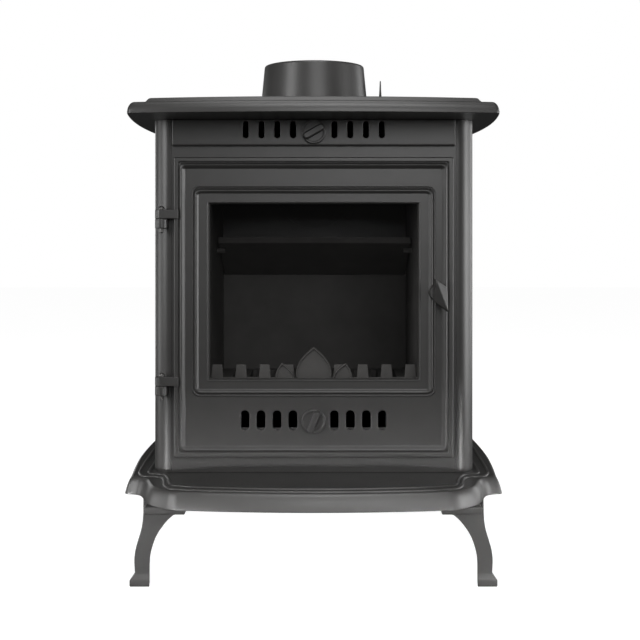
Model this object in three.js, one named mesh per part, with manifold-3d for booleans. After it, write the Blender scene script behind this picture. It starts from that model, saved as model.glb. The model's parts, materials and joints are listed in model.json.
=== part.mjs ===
// A freestanding cast-iron potbelly stove with a glazed door, on four cabriole legs.
// Millimetres, +Z up. The origin is on the floor under the middle of the stove, and the front is -Y.
import * as THREE from 'three';
import { ConvexGeometry } from 'three/addons/geometries/ConvexGeometry.js';
import { mergeVertices } from 'three/addons/utils/BufferGeometryUtils.js';
import Module from 'manifold-3d';

const wasm = await Module();
wasm.setup();

// ---------------------------------------------------------------- driving dimensions

const gap = 0.3; // seat gap between pieces that touch
const pinPlay = 0.3; // radial play of a spindle or pin in its hole
const overlapCut = 2; // how far a cutter runs past the face that it opens

// Whole stove
const depth = 450; // front lip to rear edge of the top and hearth plates
const frontY = -depth / 2;
const rearY = depth / 2;
const bodyHalfWidth = 201;
const bodySetback = 115; // front lip to the body's front
const bodyRearMargin = 30; // body's back to the rear edges of the plates
const bodyFront = frontY + bodySetback;
const bodyBack = rearY - bodyRearMargin;

// Top plate
const topOverhang = 34; // over the body's sides, at its widest
const topCornerOverhang = 19.7;
const topBow = 20; // how far the front edge bows out
const topHalfWidth = bodyHalfWidth + topOverhang;
const topCornerX = bodyHalfWidth + topCornerOverhang;
const topCornerY = frontY + topBow;
const topUnder = 578; // underside of the lip, which sits on the body
const topLipHeight = 12.3;
const topLipRound = 9.3; // quarter round along the lip's upper edge
const topLedge = 9.5; // flat ledge between the lip and the raised field
const topStep = 4.7; // height of the raised field over the ledge
const topSlope = 6; // width of the slope up to the raised field
const topSkin = 8.5; // iron left over the pocket under the plate
const topCornerRound = 7;

// Flue collar
const flueFromBack = 181;
const flueY = bodyBack - flueFromBack;
const flueBore = 63.5; // radius
const collarRim = 68.2; // outer radius under the rim
const collarFoot = 73.5; // outer radius over the flange
const collarFlange = 92;
const collarFlangeThick = 7.5;
const collarHeight = 67;
const collarRound = 4;
const collarBoltCircle = 83;
const collarBoltCount = 3;

// Flue damper
const damperAxisZ = 611;
const damperHalfWidth = 60;
const damperHalfHeight = 47.5;
const damperThick = 4;
const damperSpindle = 3.5; // radius
const damperLeverX = 91.4;
const damperLeverReach = 32;
const damperLeverThick = 4.4;
const damperLeverTip = 1.6;

// Body box
const wall = 8;
const pilasterRadius = 20; // round front corners
const floorZ = 130; // top of the hearth plate
const ledgeTop = 214; // ledge round the inside that carries grate and liners
const ledgeThick = 8;
const ledgeReach = 73; // from the body's outside
const rearLedgeReach = 35;
const ledgeInner = bodyHalfWidth - ledgeReach;
const rearLedgeFront = bodyBack - rearLedgeReach;
const sideFieldInset = 34; // edges of each side panel to its moulded field
const sideFieldRound = 12;
const sideFieldBead = 3; // crown of the bead round the field
const sideFieldBeadWidth = 7;
const sideFieldRaise = 1.1;

// Front frame opening behind the door
const openMargin = 14; // the opening is this much smaller than the door
const openBottom = 166;
const openTop = 515;

// Upper fascia and its air control
const fasciaMargin = 22; // body side to fascia end
const fasciaHalfWidth = bodyHalfWidth - fasciaMargin;
const fasciaBottom = 544.5;
const fasciaThick = 6.7;
const upperKnobZ = 562;
const upperSlotZ = 565;
const upperSlotWidth = 7.3;
const upperSlotHeight = 21;
const upperSlotPitch = 20;
const upperSlotFirst = 26; // from the knob to the nearest slot
const slotsPerSide = 4;

// Door
const doorMargin = 25; // body side to door edge
const doorHalfWidth = bodyHalfWidth - doorMargin;
const doorBottom = 151.8;
const doorTop = 529.8;
const doorReach = 14; // body's front to the face of the door's border
const doorFront = bodyFront - doorReach;
const doorBackGap = 0.6; // door back to frame face, closed by the rope
const doorField = 2.6; // how far the flat field lies behind the border
const windowMargin = 45; // door edge to window
const windowHalfWidth = doorHalfWidth - windowMargin;
const windowBottom = 251;
const windowTop = 470.6;
const windowMoulding = 22.6; // width of the moulding round the glass
const mouldingHeight = 3.2; // crown of the moulding over the flat field
const windowRound = 1.5;
const glassThick = 4;
const glassOverlap = 8;
const gasketThick = 1;
const rebateDepth = 5.6;
const ropeInset = 3; // door edge to rope groove
const ropeWidth = 8;
const ropeDepth = 5;
const ropeRound = 7; // corner radius of the groove's outer wall
const clipMargin = 61; // window edge to clip
const clipX = windowHalfWidth - clipMargin;
const clipWidth = 13;
const clipLength = 28;
const clipThick = 2;
const clipOverlap = 6; // how far a clip reaches over the glass
const clipScrewOffset = 5; // from the clip's middle, away from the glass
const clipScrewRadius = 2.2;
const clipScrewHead = 4.5;
const clipScrewHeadHeight = 2.8;
const clipScrewDepth = 5; // length in the door

// Door's lower air control
const lowerKnobZ = 197.5;
const lowerSlotZ = 199.5;
const lowerSlotWidth = 11;
const lowerSlotHeight = 24;
const lowerSlotPitch = 20.2;
const lowerSlotFirst = 26;
const doorWall = 5; // iron left in front of the lower shutter

// Air knobs, cranks and shutters
const knobRadius = 14.6;
const knobThick = 5.5;
const gripLength = 26;
const gripWidth = 6.8;
const gripHeight = 8;
const knobSpindle = 3.5; // radius
const crankThrow = 10.1; // radius of the crank pin's circle
const crankSwing = THREE.MathUtils.degToRad(60); // full turn of the knob
const crankPin = 1.9; // radius
const crankPlay = 0.5; // crank pin to slot wall
const crankThick = 2;
const crankDisc = 12.8; // radius
const shutterThick = 3;
const upperGripAngle = THREE.MathUtils.degToRad(30);
const lowerGripAngle = THREE.MathUtils.degToRad(67);

// Door hinges
const hingeInset = 9; // pin axis to the body's side
const hingeReach = 8.5; // pin axis ahead of the body
const hingeX = hingeInset - bodyHalfWidth;
const hingeY = bodyFront - hingeReach;
const knuckleRadius = 8.2;
const knuckleHeight = 12;
const armHeight = 11.3;
const upperArmBottom = 452.3;
const lowerArmBottom = 241.8;
const pinRadius = 2.5;
const pinHead = 4.2;
const pinHeadHeight = 4.4;
const pinTail = 6; // stretch of pin below the knuckle

// Door handle and latch
const handleInset = 22.3; // spindle to the door's edge
const handleX = doorHalfWidth - handleInset;
const handleZ = 359.6;
const handleSpindle = 4; // radius
const handleBoss = 8.2; // radius
const handleBossLength = 9;
const handleLift = 15; // ridge over the back of the grip
const handleFlank = 5; // height of the grip's outline before it slopes to the ridge
const handleOutline = [[-3.5, 18.5], [-5, -9.5], [13.5, -24], [12.6, 7]]; // from the spindle
const handleRidge = [[-2, 17], [12.4, -21.5]];
const camHub = 6.5;
const camReach = 19;
const camWidth = 8.4;
const camThick = 5;
const camBackGap = 0.6;

// Hearth plate
const hearthThick = 21;
const hearthUnder = floorZ - hearthThick;
const hearthOverhang = 46.3; // over the body's sides, at its widest
const hearthWideFromRear = 153;
const hearthRearTaper = 6.3;
const hearthHalfWidth = bodyHalfWidth + hearthOverhang;
const hearthWideY = rearY - hearthWideFromRear;
const hearthRearX = hearthHalfWidth - hearthRearTaper;
const hearthRearRound = 16;
const hearthSkin = 8;
const hearthLipReach = 9.5; // run of the lip's curve
const hearthLipFoot = 2; // upright stretch under the curve
const hearthCornerInset = 75.3; // widest point to where the front bow ends
const hearthBow = 12.5; // how far the front edge bows out
const hearthNeckInset = 40.3; // widest point to the hollow of the stepped corner
const hearthNeckSetback = 62;
const notchRadius = 12.5;
const hearthFrontCorner = new THREE.Vector2(hearthHalfWidth - hearthCornerInset, frontY + hearthBow);
const hearthNeck = new THREE.Vector2(hearthHalfWidth - hearthNeckInset, frontY + hearthNeckSetback);
const hearthLobe = new THREE.Vector2(hearthNeck.x + 2 * notchRadius, hearthNeck.y + 2 * notchRadius);
const beadWidth = 5; // each of the two beads
const beadCrown = 2.6; // width of its top
const beadRaise = 2;
const beadSpread = 14.4; // between the two
const beadInset = 17.5; // front lip to the middle of the pair
const beadSide = 11.5; // body side to the middle of the pair

// Legs
const footInset = 21.3; // foot to the hearth's widest point
const footOuterX = hearthHalfWidth - footInset;
const footWidth = 22.7;
const footHeight = 6.5;
const footFlare = 8.5; // height of the slope from the foot to the ankle
const legThick = 30;
const legSlim = 2; // the blade is this much thinner than the foot, front and back
const frontLegReach = 46; // ahead of the body
const frontLegY = bodyFront - frontLegReach; // front face of the front legs
const rearLegY = rearY - 0.5 - legThick; // front face of the rear legs
const legTopInset = 37.7; // knee to the hearth's widest point
const legFlangeWidth = 56.6;
const legTopX = hearthHalfWidth - legTopInset;
const legFlangeInner = legTopX - legFlangeWidth;
const legFlangeThick = 9;
const legFlangeNear = 26; // flange beyond the web, on the side that holds the bolt
const legFlangeFar = 42; // flange ahead of the web, on the front legs
const legBoltInset = 31;
const legBoltX = legFlangeInner + legBoltInset;

// Firebox lining
const linerStandoff = 61; // body's outside to the liner's face
const linerInner = bodyHalfWidth - linerStandoff; // half width between the side liners
const linerThick = 8;
const backLinerStandoff = 23;
const linerBackFace = bodyBack - backLinerStandoff;
const sideLinerTop = 500;
const backLinerTop = 367.7;
const baffleThick = 8;
const linerRibThick = 6;
const baffleReach = 112; // ahead of the back liner
const baffleFrontY = linerBackFace - baffleReach;
const baffleFrontZ = 418;
const bafflePeg = 4; // radius
const bafflePegInset = 14;
const bafflePegY = baffleFrontY + bafflePegInset;
const bafflePegLength = 12;
const grateThick = 10;
const grateSetback = 26;
const grateFront = bodyFront + grateSetback;
const grateSlots = 10;
const grateSlotWidth = 11;
const grateMargin = 13; // grate edge to the slots
const grateRib = 20; // cross rib between the two rows of slots
const fenceSetback = 19;
const fenceY = bodyFront + fenceSetback;
const fenceThick = 5;
const fenceTop = 264.5;
const fenceGap = 248;
const fenceFirst = 32.4;
const fenceTeeth = 4; // on each side
const fenceMargin = 15.5; // liner to the last tooth
const fencePitch = (linerInner - fenceMargin - fenceFirst) / (fenceTeeth - 1);
const fenceTooth = 12.4;
const fenceToothTaper = 1.6;
const leafTop = 287;
const leafHalf = 27;
const leafRelief = 4; // how far the middle leaf stands out
const smallLeafX = 36;
const smallLeafTop = 266.5;
const smallLeafHalf = 15;
const smallLeafRelief = 2;
const smallLeafLean = 5;

// Ash pan
const panPlay = 10; // to the ledges
const panSetback = 18;
const panHalfWidth = ledgeInner - panPlay;
const panFront = bodyFront + panSetback;
const panBack = rearLedgeFront - panPlay;
const panHeight = 50;
const panWall = 2.5;
const panTabHalf = 22;
const panTabReach = 8;
const panTabThick = 3;
const panTabDrop = 11; // pan rim to the top of its tab

// Rear outlet cover
const rearOutletZ = 500;
const rearOutletBore = 62;
const rearCover = 76;
const rearCoverThick = 6;
const rearBoltCircle = 69;

// Tie rods and bolts
const tieRod = 4; // radius
const tieRodInset = 18; // body side to rod
const tieRodSetback = 22;
const tieRodFromBack = 42;
const tieRodX = bodyHalfWidth - tieRodInset;
const tieRodFrontY = bodyFront + tieRodSetback;
const tieRodRearY = bodyBack - tieRodFromBack;
const boltRadius = 3;
const boltHead = 6; // across the corners, as a radius
const boltHeadHeight = 5;

// ---------------------------------------------------------------- solids and their operations

function toSolid(geometry) {
  const bare = geometry.index ? geometry.toNonIndexed() : geometry.clone();
  bare.deleteAttribute('normal');
  bare.deleteAttribute('uv');
  const merged = mergeVertices(bare, 1e-4);
  return new wasm.Manifold(new wasm.Mesh({
    numProp: 3,
    vertProperties: new Float32Array(merged.attributes.position.array),
    triVerts: new Uint32Array(merged.index.array),
  }));
}

function toGeometry(body) {
  const mesh = body.getMesh();
  const geometry = new THREE.BufferGeometry();
  geometry.setAttribute('position', new THREE.BufferAttribute(mesh.vertProperties, 3));
  geometry.setIndex(new THREE.BufferAttribute(mesh.triVerts, 1));
  return geometry;
}

function cut(body, ...cutters) {
  return cutters.flat().reduce((rest, cutter) => rest.subtract(cutter), body);
}

function join(...bodies) {
  return bodies.flat().reduce((whole, next) => whole.add(next));
}

const alongX = new THREE.Matrix4().set(0, 0, 1, 0, 1, 0, 0, 0, 0, 1, 0, 0, 0, 0, 0, 1);
const alongY = new THREE.Matrix4().set(1, 0, 0, 0, 0, 0, -1, 0, 0, 1, 0, 0, 0, 0, 0, 1);

function extruded(shape, length, segments) {
  return new THREE.ExtrudeGeometry(shape, { depth: length, bevelEnabled: false, curveSegments: segments });
}

// An outline in X and Y, extruded from z0 up to z1.
function prismZ(shape, z0, z1, segments = 6) {
  return toSolid(extruded(shape, z1 - z0, segments).translate(0, 0, z0));
}

// An outline in X and Z, extruded from y0 back to y1.
function prismY(shape, y0, y1, segments = 6) {
  return toSolid(extruded(shape, y1 - y0, segments).applyMatrix4(alongY).translate(0, y1, 0));
}

// An outline in Y and Z, extruded from x0 to x1.
function prismX(shape, x0, x1, segments = 6) {
  return toSolid(extruded(shape, x1 - x0, segments).applyMatrix4(alongX).translate(x0, 0, 0));
}

function block(x0, x1, y0, y1, z0, z1) {
  const box = new THREE.BoxGeometry(x1 - x0, y1 - y0, z1 - z0);
  return toSolid(box.translate((x0 + x1) / 2, (y0 + y1) / 2, (z0 + z1) / 2));
}

function rodZ(x, y, radius, z0, z1, sides = 16) {
  const rod = new THREE.CylinderGeometry(radius, radius, z1 - z0, sides);
  return toSolid(rod.rotateX(Math.PI / 2).translate(x, y, (z0 + z1) / 2));
}

function rodY(x, z, radius, y0, y1, sides = 16) {
  const rod = new THREE.CylinderGeometry(radius, radius, y1 - y0, sides);
  return toSolid(rod.translate(x, (y0 + y1) / 2, z));
}

function rodX(y, z, radius, x0, x1, sides = 16) {
  const rod = new THREE.CylinderGeometry(radius, radius, x1 - x0, sides);
  return toSolid(rod.rotateZ(Math.PI / 2).translate((x0 + x1) / 2, y, z));
}

function mirrored(body) {
  return body.mirror([1, 0, 0]);
}

// A closed body whose skin runs through rings of equally many points, capped at both ends,
// or joined end to start where it is a hoop.
function lofted(rings, hoop = false) {
  const count = rings[0].length;
  const positions = rings.flat().flatMap((point) => [point.x, point.y, point.z]);
  const index = [];
  const bands = hoop ? rings.length : rings.length - 1;
  for (let band = 0; band < bands; band += 1) {
    const low = band * count;
    const high = ((band + 1) % rings.length) * count;
    for (let i = 0; i < count; i += 1) {
      const j = (i + 1) % count;
      index.push(low + i, low + j, high + j, low + i, high + j, high + i);
    }
  }
  if (!hoop) {
    const flat = rings[0].map((point) => flatten(point, rings));
    const faces = THREE.ShapeUtils.triangulateShape(flat, []);
    const facesForward = THREE.ShapeUtils.area(flat) > 0;
    const last = (rings.length - 1) * count;
    for (const [a, b, c] of faces) {
      index.push(...(facesForward ? [a, c, b] : [a, b, c]));
      index.push(...(facesForward ? [last + a, last + b, last + c] : [last + a, last + c, last + b]));
    }
  }
  if (signedVolume(positions, index) < 0) {
    for (let i = 0; i < index.length; i += 3) {
      [index[i], index[i + 1]] = [index[i + 1], index[i]];
    }
  }
  const geometry = new THREE.BufferGeometry();
  geometry.setAttribute('position', new THREE.Float32BufferAttribute(positions, 3));
  geometry.setIndex(index);
  return toSolid(geometry);
}

// A ring lies in a plane across one axis, and this drops that axis.
function flatten(point, rings) {
  const same = (axis) => rings[0].every((other) => Math.abs(other[axis] - rings[0][0][axis]) < 1e-6);
  if (same('z')) {
    return new THREE.Vector2(point.x, point.y);
  }
  return same('y') ? new THREE.Vector2(point.z, point.x) : new THREE.Vector2(point.y, point.z);
}

function signedVolume(positions, index) {
  const corner = (i) => new THREE.Vector3().fromArray(positions, index[i] * 3);
  let sum = 0;
  for (let i = 0; i < index.length; i += 3) {
    sum += corner(i).dot(corner(i + 1).cross(corner(i + 2)));
  }
  return sum;
}

// ---------------------------------------------------------------- outlines

function roundedBox(halfWidth, bottom, top, radius, centre = 0) {
  const shape = new THREE.Shape();
  const left = centre - halfWidth;
  const right = centre + halfWidth;
  const quarter = Math.PI / 2;
  shape.absarc(right - radius, bottom + radius, radius, -quarter, 0);
  shape.absarc(right - radius, top - radius, radius, 0, quarter);
  shape.absarc(left + radius, top - radius, radius, quarter, 2 * quarter);
  shape.absarc(left + radius, bottom + radius, radius, 2 * quarter, 3 * quarter);
  shape.closePath();
  return shape;
}

function polygon(points) {
  return new THREE.Shape(points.map(([x, y]) => new THREE.Vector2(x, y)));
}

// An upright slot with round ends.
function slotOutline(width, height, x, z) {
  return roundedBox(width / 2, z - height / 2, z + height / 2, width / 2 - 0.01, x);
}

// A plain rectangular window of the same size.
function windowOutline(width, height, x, z) {
  const [left, right, bottom, top] = [x - width / 2, x + width / 2, z - height / 2, z + height / 2];
  return polygon([[left, bottom], [right, bottom], [right, top], [left, top]]);
}

// Points from a towards b along an arc that bulges to the right of that way, b itself left out.
function bowed(a, b, bulge, steps) {
  const points = [];
  const across = new THREE.Vector2(b.y - a.y, a.x - b.x).normalize();
  for (let i = 0; i < steps; i += 1) {
    const t = i / steps;
    const rise = bulge * 4 * t * (1 - t);
    points.push(new THREE.Vector2().lerpVectors(a, b, t).addScaledVector(across, rise));
  }
  return points;
}

// Points along an arc, its angles in degrees.
function arc(x, y, radius, from, to, steps) {
  return Array.from({ length: steps + 1 }, (_, i) => {
    const angle = THREE.MathUtils.degToRad(from + ((to - from) * i) / steps);
    return new THREE.Vector2(x + radius * Math.cos(angle), y + radius * Math.sin(angle));
  });
}

// The right half of an outline, from the front centre to the rear centre, made whole.
function bothHalves(half) {
  const left = half.slice(1, -1).reverse().map((point) => new THREE.Vector2(-point.x, point.y));
  return [...half, ...left];
}

// An outline moved in by a distance, each point along the mean of its two edge normals.
function inset(points, distance) {
  const count = points.length;
  return points.map((point, i) => {
    const before = points[(i + count - 1) % count];
    const after = points[(i + 1) % count];
    const one = new THREE.Vector2(before.y - point.y, point.x - before.x).normalize();
    const two = new THREE.Vector2(point.y - after.y, after.x - point.x).normalize();
    const mean = one.clone().add(two).normalize();
    const stretch = Math.min(1 / Math.max(mean.dot(one), 0.5), 1.6);
    return point.clone().addScaledVector(mean, distance * stretch);
  });
}

function ringAtZ(points, z) {
  return points.map((point) => new THREE.Vector3(point.x, point.y, z));
}

// A rounded rectangle in X and Z as a ring of points at one depth.
function frameRing(halfWidth, bottom, top, radius, y, arcSteps = 3) {
  const ring = [];
  const round = Math.max(radius, 0.4);
  const corners = [
    [halfWidth - round, bottom + round, -90],
    [halfWidth - round, top - round, 0],
    [-halfWidth + round, top - round, 90],
    [-halfWidth + round, bottom + round, 180],
  ];
  for (const [x, z, start] of corners) {
    for (let i = 0; i <= arcSteps; i += 1) {
      const angle = THREE.MathUtils.degToRad(start + (90 * i) / arcSteps);
      ring.push(new THREE.Vector3(x + round * Math.cos(angle), y, z + round * Math.sin(angle)));
    }
  }
  return ring;
}

// ---------------------------------------------------------------- materials and the scene graph

const group = new THREE.Group();
const finishes = {
  iron: { color: 0x4b4a49, roughness: 0.62, metalness: 0.25 },
  darkIron: { color: 0x2c2b2a, roughness: 0.85, metalness: 0.1 },
  steel: { color: 0x77757a, roughness: 0.45, metalness: 0.8 },
  sheet: { color: 0x3a3938, roughness: 0.6, metalness: 0.4 },
  glass: { color: 0x1d2226, roughness: 0.05, metalness: 0, transparent: true, opacity: 0.35 },
  rope: { color: 0x8b877e, roughness: 0.95, metalness: 0 },
};

function place(name, body, finish) {
  const mesh = new THREE.Mesh(toGeometry(body), new THREE.MeshStandardMaterial(finishes[finish]));
  mesh.name = name;
  group.add(mesh);
}

// ---------------------------------------------------------------- fasteners

// A hexagon bolt whose shank points along +Z from the underside of its head at the origin.
function hexBolt(radius, length, head = boltHead, headHeight = boltHeadHeight) {
  return join(rodZ(0, 0, head, -headHeight, 0, 6), rodZ(0, 0, radius, -0.5, length, 12));
}

// A round-headed clip screw whose shank points along -Y from the underside of its head.
function panScrew(x, z, seatY, length) {
  const [head, height] = [clipScrewHead, clipScrewHeadHeight];
  const profile = [[0, 0], [head, 0], [head * 0.85, height * 0.7], [0, height]];
  const dome = new THREE.LatheGeometry(profile.map(([r, h]) => new THREE.Vector2(r, h)), 12);
  const shank = rodY(x, z, clipScrewRadius, seatY - length, seatY + 0.5, 8);
  return join(toSolid(dome.translate(x, seatY, z)), shank);
}

// ---------------------------------------------------------------- top plate

// The outline of the top plate, moved in by a distance.
function topOutline(moved) {
  const corner = new THREE.Vector2(topCornerX - moved, topCornerY + moved);
  const rear = new THREE.Vector2(topCornerX - moved, rearY - moved);
  const rearMiddle = new THREE.Vector2(0, rearY - moved);
  const round = Math.max(topCornerRound - moved, 1.2);
  const leftCorner = new THREE.Vector2(-corner.x, corner.y);
  const frontEdge = bowed(leftCorner, corner, topCornerY - frontY, 12).slice(7);
  const halfFront = [new THREE.Vector2(0, frontY + moved), ...frontEdge];
  const side = bowed(corner, rear, topHalfWidth - topCornerX, 8).slice(1);
  return bothHalves([
    ...halfFront,
    ...roundedCorner(halfFront.at(-1), corner, side[0], round),
    ...side,
    ...roundedCorner(side.at(-1), rear, rearMiddle, round),
    rearMiddle,
  ]);
}

// Three points that round a corner off between its two neighbours.
function roundedCorner(before, corner, after, radius) {
  const start = corner.clone().add(before.clone().sub(corner).setLength(radius));
  const end = corner.clone().add(after.clone().sub(corner).setLength(radius));
  const curve = new THREE.QuadraticBezierCurve(start, corner, end);
  return curve.getPoints(3);
}

// Rings that round a lip's upper edge in a quarter ellipse, from an outline that can be moved in.
function roundedLip(outlineAt, run, rise, zBelow, steps = 3) {
  const rings = [];
  for (let i = 0; i <= steps; i += 1) {
    const angle = (i / steps) * (Math.PI / 2);
    rings.push(ringAtZ(outlineAt(run * (1 - Math.cos(angle))), zBelow + rise * Math.sin(angle)));
  }
  return rings;
}

const tieRodPlaces = [-1, 1].flatMap((side) => [
  [side * tieRodX, tieRodFrontY, side < 0 ? 'front_left' : 'front_right'],
  [side * tieRodX, tieRodRearY, side < 0 ? 'rear_left' : 'rear_right'],
]);

const lipTop = topUnder + topLipHeight;
const topFace = lipTop + topStep;
const collarSeat = topFace + gap;
const flangeTop = collarSeat + collarFlangeThick;

const collarBoltPlaces = Array.from({ length: collarBoltCount }, (_, i) => {
  const angle = THREE.MathUtils.degToRad(30 + (360 / collarBoltCount) * i);
  return [collarBoltCircle * Math.cos(angle), flueY + collarBoltCircle * Math.sin(angle)];
});

function topPlate() {
  const stepOuter = topLipRound + topLedge;
  const plate = lofted([
    ringAtZ(topOutline(1), topUnder),
    ...roundedLip(topOutline, topLipRound, topLipRound, lipTop - topLipRound),
    ringAtZ(topOutline(stepOuter), lipTop),
    ringAtZ(topOutline(stepOuter + topSlope), topFace),
  ]);
  const pocketTop = topFace - topSkin;
  const pocketHalf = bodyHalfWidth - 2 * wall;
  const pocketShape = polygon([
    [-pocketHalf, bodyFront + 2 * wall],
    [pocketHalf, bodyFront + 2 * wall],
    [pocketHalf, bodyBack - 2 * wall],
    [-pocketHalf, bodyBack - 2 * wall],
  ]);
  const bosses = tieRodPlaces.map(([x, y]) => rodZ(x, y, 3 * tieRod, topUnder - overlapCut, topFace));
  const pocket = cut(prismZ(pocketShape, topUnder - overlapCut, pocketTop), bosses);
  const rods = tieRodPlaces.map(([x, y]) => rodZ(x, y, tieRod + pinPlay, topUnder - overlapCut, pocketTop));
  const bolts = collarBoltPlaces.map(([x, y]) => (
    rodZ(x, y, boltRadius + pinPlay, topUnder - overlapCut, topFace + overlapCut, 12)
  ));
  const flue = rodZ(0, flueY, flueBore - 1, topUnder - overlapCut, topFace + overlapCut, 28);
  return cut(plate, pocket, flue, rods, bolts);
}

// ---------------------------------------------------------------- flue collar and damper

function flueCollar() {
  const rim = collarSeat + collarHeight;
  const shoulder = flangeTop + 4;
  const outer = [
    [flueBore, collarSeat],
    [collarFlange - 1.5, collarSeat],
    [collarFlange, collarSeat + 1.5],
    [collarFlange, flangeTop - 2],
    [collarFlange - 2, flangeTop],
    [collarFoot + 4, flangeTop],
    [collarFoot + 1, flangeTop + 1],
    [collarFoot, shoulder],
    [collarRim, rim - collarRound],
    [collarRim - collarRound * 0.3, rim - collarRound * 0.3],
    [collarRim - collarRound * 0.75, rim],
    [flueBore, rim],
    [flueBore, collarSeat],
  ];
  const points = outer.map(([r, z]) => new THREE.Vector2(r, z));
  const lathe = new THREE.LatheGeometry(points, 28).rotateX(Math.PI / 2);
  const ring = toSolid(lathe.translate(0, flueY, 0));
  const spindle = rodX(flueY, damperAxisZ, damperSpindle + pinPlay, -collarFlange, collarFlange);
  const bolts = collarBoltPlaces.map(([x, y]) => (
    rodZ(x, y, boltRadius + pinPlay, collarSeat - overlapCut, flangeTop + overlapCut, 12)
  ));
  return cut(ring, spindle, bolts);
}

function damperPlate() {
  const oval = new THREE.Shape();
  oval.absellipse(0, damperAxisZ, damperHalfWidth, damperHalfHeight, 0, 2 * Math.PI);
  const disc = prismY(oval, flueY - damperThick / 2, flueY + damperThick / 2, 16);
  const hub = rodX(flueY, damperAxisZ, 2 * damperSpindle, -damperHalfWidth + 1, damperHalfWidth - 1);
  const bore = rodX(flueY, damperAxisZ, damperSpindle + pinPlay, -collarFlange, collarFlange);
  return cut(join(disc, hub), bore);
}

function damperSpindleRod() {
  return rodX(flueY, damperAxisZ, damperSpindle, -collarFoot - 5, damperLeverX + damperLeverThick);
}

function damperLever() {
  const half = damperLeverThick / 2;
  const tip = damperLeverTip / 2;
  const top = damperAxisZ + damperLeverReach;
  const taper = prismY(polygon([
    [damperLeverX - half, damperAxisZ - damperLeverReach],
    [damperLeverX + half, damperAxisZ - damperLeverReach],
    [damperLeverX + half, damperAxisZ + 2 * damperSpindle],
    [damperLeverX + tip, top],
    [damperLeverX - tip, top],
    [damperLeverX - half, damperAxisZ + 2 * damperSpindle],
  ]), flueY - damperLeverReach, flueY + damperLeverReach);
  const side = new THREE.Shape();
  const hub = 2 * damperSpindle;
  side.absarc(flueY, damperAxisZ, hub, Math.PI, 2 * Math.PI);
  side.lineTo(flueY + 4.5, top - 4);
  side.absarc(flueY, top - 4, 4, 0, Math.PI);
  side.closePath();
  const arm = prismX(side, damperLeverX - half, damperLeverX + half);
  const bore = rodX(flueY, damperAxisZ, damperSpindle + 0.05, 0, damperLeverX + 2 * damperLeverThick);
  return cut(taper.intersect(arm), bore);
}

// ---------------------------------------------------------------- body panels

const panelTop = topUnder - gap;
const panelBottom = floorZ + gap;
const sideRear = bodyBack - wall - gap;
const ledgeBottom = ledgeTop - ledgeThick;
const pilasterX = bodyHalfWidth - pilasterRadius;
const frameHalfWidth = pilasterX - gap;
const frameBack = bodyFront + wall;
const doorBack = bodyFront - doorBackGap;

function rightSidePanel() {
  const centreY = bodyFront + pilasterRadius;
  const outer = new THREE.Shape();
  outer.moveTo(pilasterX, bodyFront);
  outer.absarc(pilasterX, centreY, pilasterRadius, -Math.PI / 2, 0);
  outer.lineTo(bodyHalfWidth, sideRear);
  outer.lineTo(bodyHalfWidth - wall, sideRear);
  outer.absarc(pilasterX, centreY, pilasterRadius - wall, 0, -Math.PI / 2, true);
  outer.closePath();
  const shell = prismZ(outer, panelBottom, panelTop, 8);
  const ledge = block(ledgeInner, bodyHalfWidth - 1, centreY - 6, sideRear, ledgeBottom, ledgeTop);
  const fieldFront = centreY + sideFieldInset;
  const fieldRear = sideRear - sideFieldInset + wall;
  const fieldBottom = floorZ + sideFieldInset;
  const fieldTop = topUnder - sideFieldInset;
  const fieldMiddle = (fieldFront + fieldRear) / 2;
  const fieldHalf = (fieldRear - fieldFront) / 2;
  const slope = sideFieldBead - 0.8;
  const steps = [
    [0, -1],
    [0, 0],
    [slope, sideFieldBead],
    [sideFieldBeadWidth, sideFieldBead],
    [sideFieldBeadWidth + slope, sideFieldRaise],
  ];
  const field = lofted(steps.map(([shrink, raise]) => (
    frameRing(fieldHalf - shrink, fieldBottom + shrink, fieldTop - shrink, sideFieldRound - shrink, 0)
      .map((point) => new THREE.Vector3(bodyHalfWidth + raise, fieldMiddle + point.x, point.z))
  )));
  const rods = tieRodPlaces.map(([x, y]) => rodZ(x, y, tieRod + 1, ledgeBottom - 1, ledgeTop + 1, 12));
  return cut(join(shell, ledge, field), rods);
}

// A cast lug on the left front corner that holds one hinge pin.
function knuckle(top) {
  const bottom = top - knuckleHeight;
  const root = bodyFront + wall;
  const barrel = rodZ(hingeX, hingeY, knuckleRadius, bottom, top, 20);
  const web = block(hingeX - knuckleRadius + 1, hingeX + knuckleRadius, hingeY, root, bottom, top);
  return join(barrel, web);
}

const armBottoms = [lowerArmBottom, upperArmBottom];

function leftSidePanel() {
  const lugs = armBottoms.map((bottom) => knuckle(bottom - gap));
  const bores = armBottoms.map((bottom) => (
    rodZ(hingeX, hingeY, pinRadius + pinPlay, bottom - 2 * knuckleHeight, bottom + armHeight)
  ));
  return cut(join(mirrored(rightSidePanel()), lugs), bores);
}

function backPanel() {
  const panel = block(-bodyHalfWidth, bodyHalfWidth, bodyBack - wall, bodyBack, panelBottom, panelTop);
  const ledgeHalf = ledgeInner - gap;
  const ledge = block(-ledgeHalf, ledgeHalf, rearLedgeFront, bodyBack - 1, ledgeBottom, ledgeTop);
  const outlet = rodY(0, rearOutletZ, rearOutletBore, bodyBack - 2 * wall, bodyBack + wall, 28);
  const bolts = [-1, 1].map((side) => (
    rodY(side * rearBoltCircle, rearOutletZ, boltRadius + pinPlay, bodyBack - 2 * wall, bodyBack + wall, 12)
  ));
  return cut(join(panel, ledge), outlet, bolts);
}

function rearOutletCover() {
  const face = bodyBack + gap;
  const disc = rodY(0, rearOutletZ, rearCover, face, face + rearCoverThick, 28);
  const crown = rodY(0, rearOutletZ, rearOutletBore * 0.8, face, face + rearCoverThick + 3, 24);
  const bolts = [-1, 1].map((side) => (
    rodY(side * rearBoltCircle, rearOutletZ, boltRadius + pinPlay, face - wall, face + 2 * wall, 12)
  ));
  return cut(join(disc, crown), bolts);
}

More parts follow.
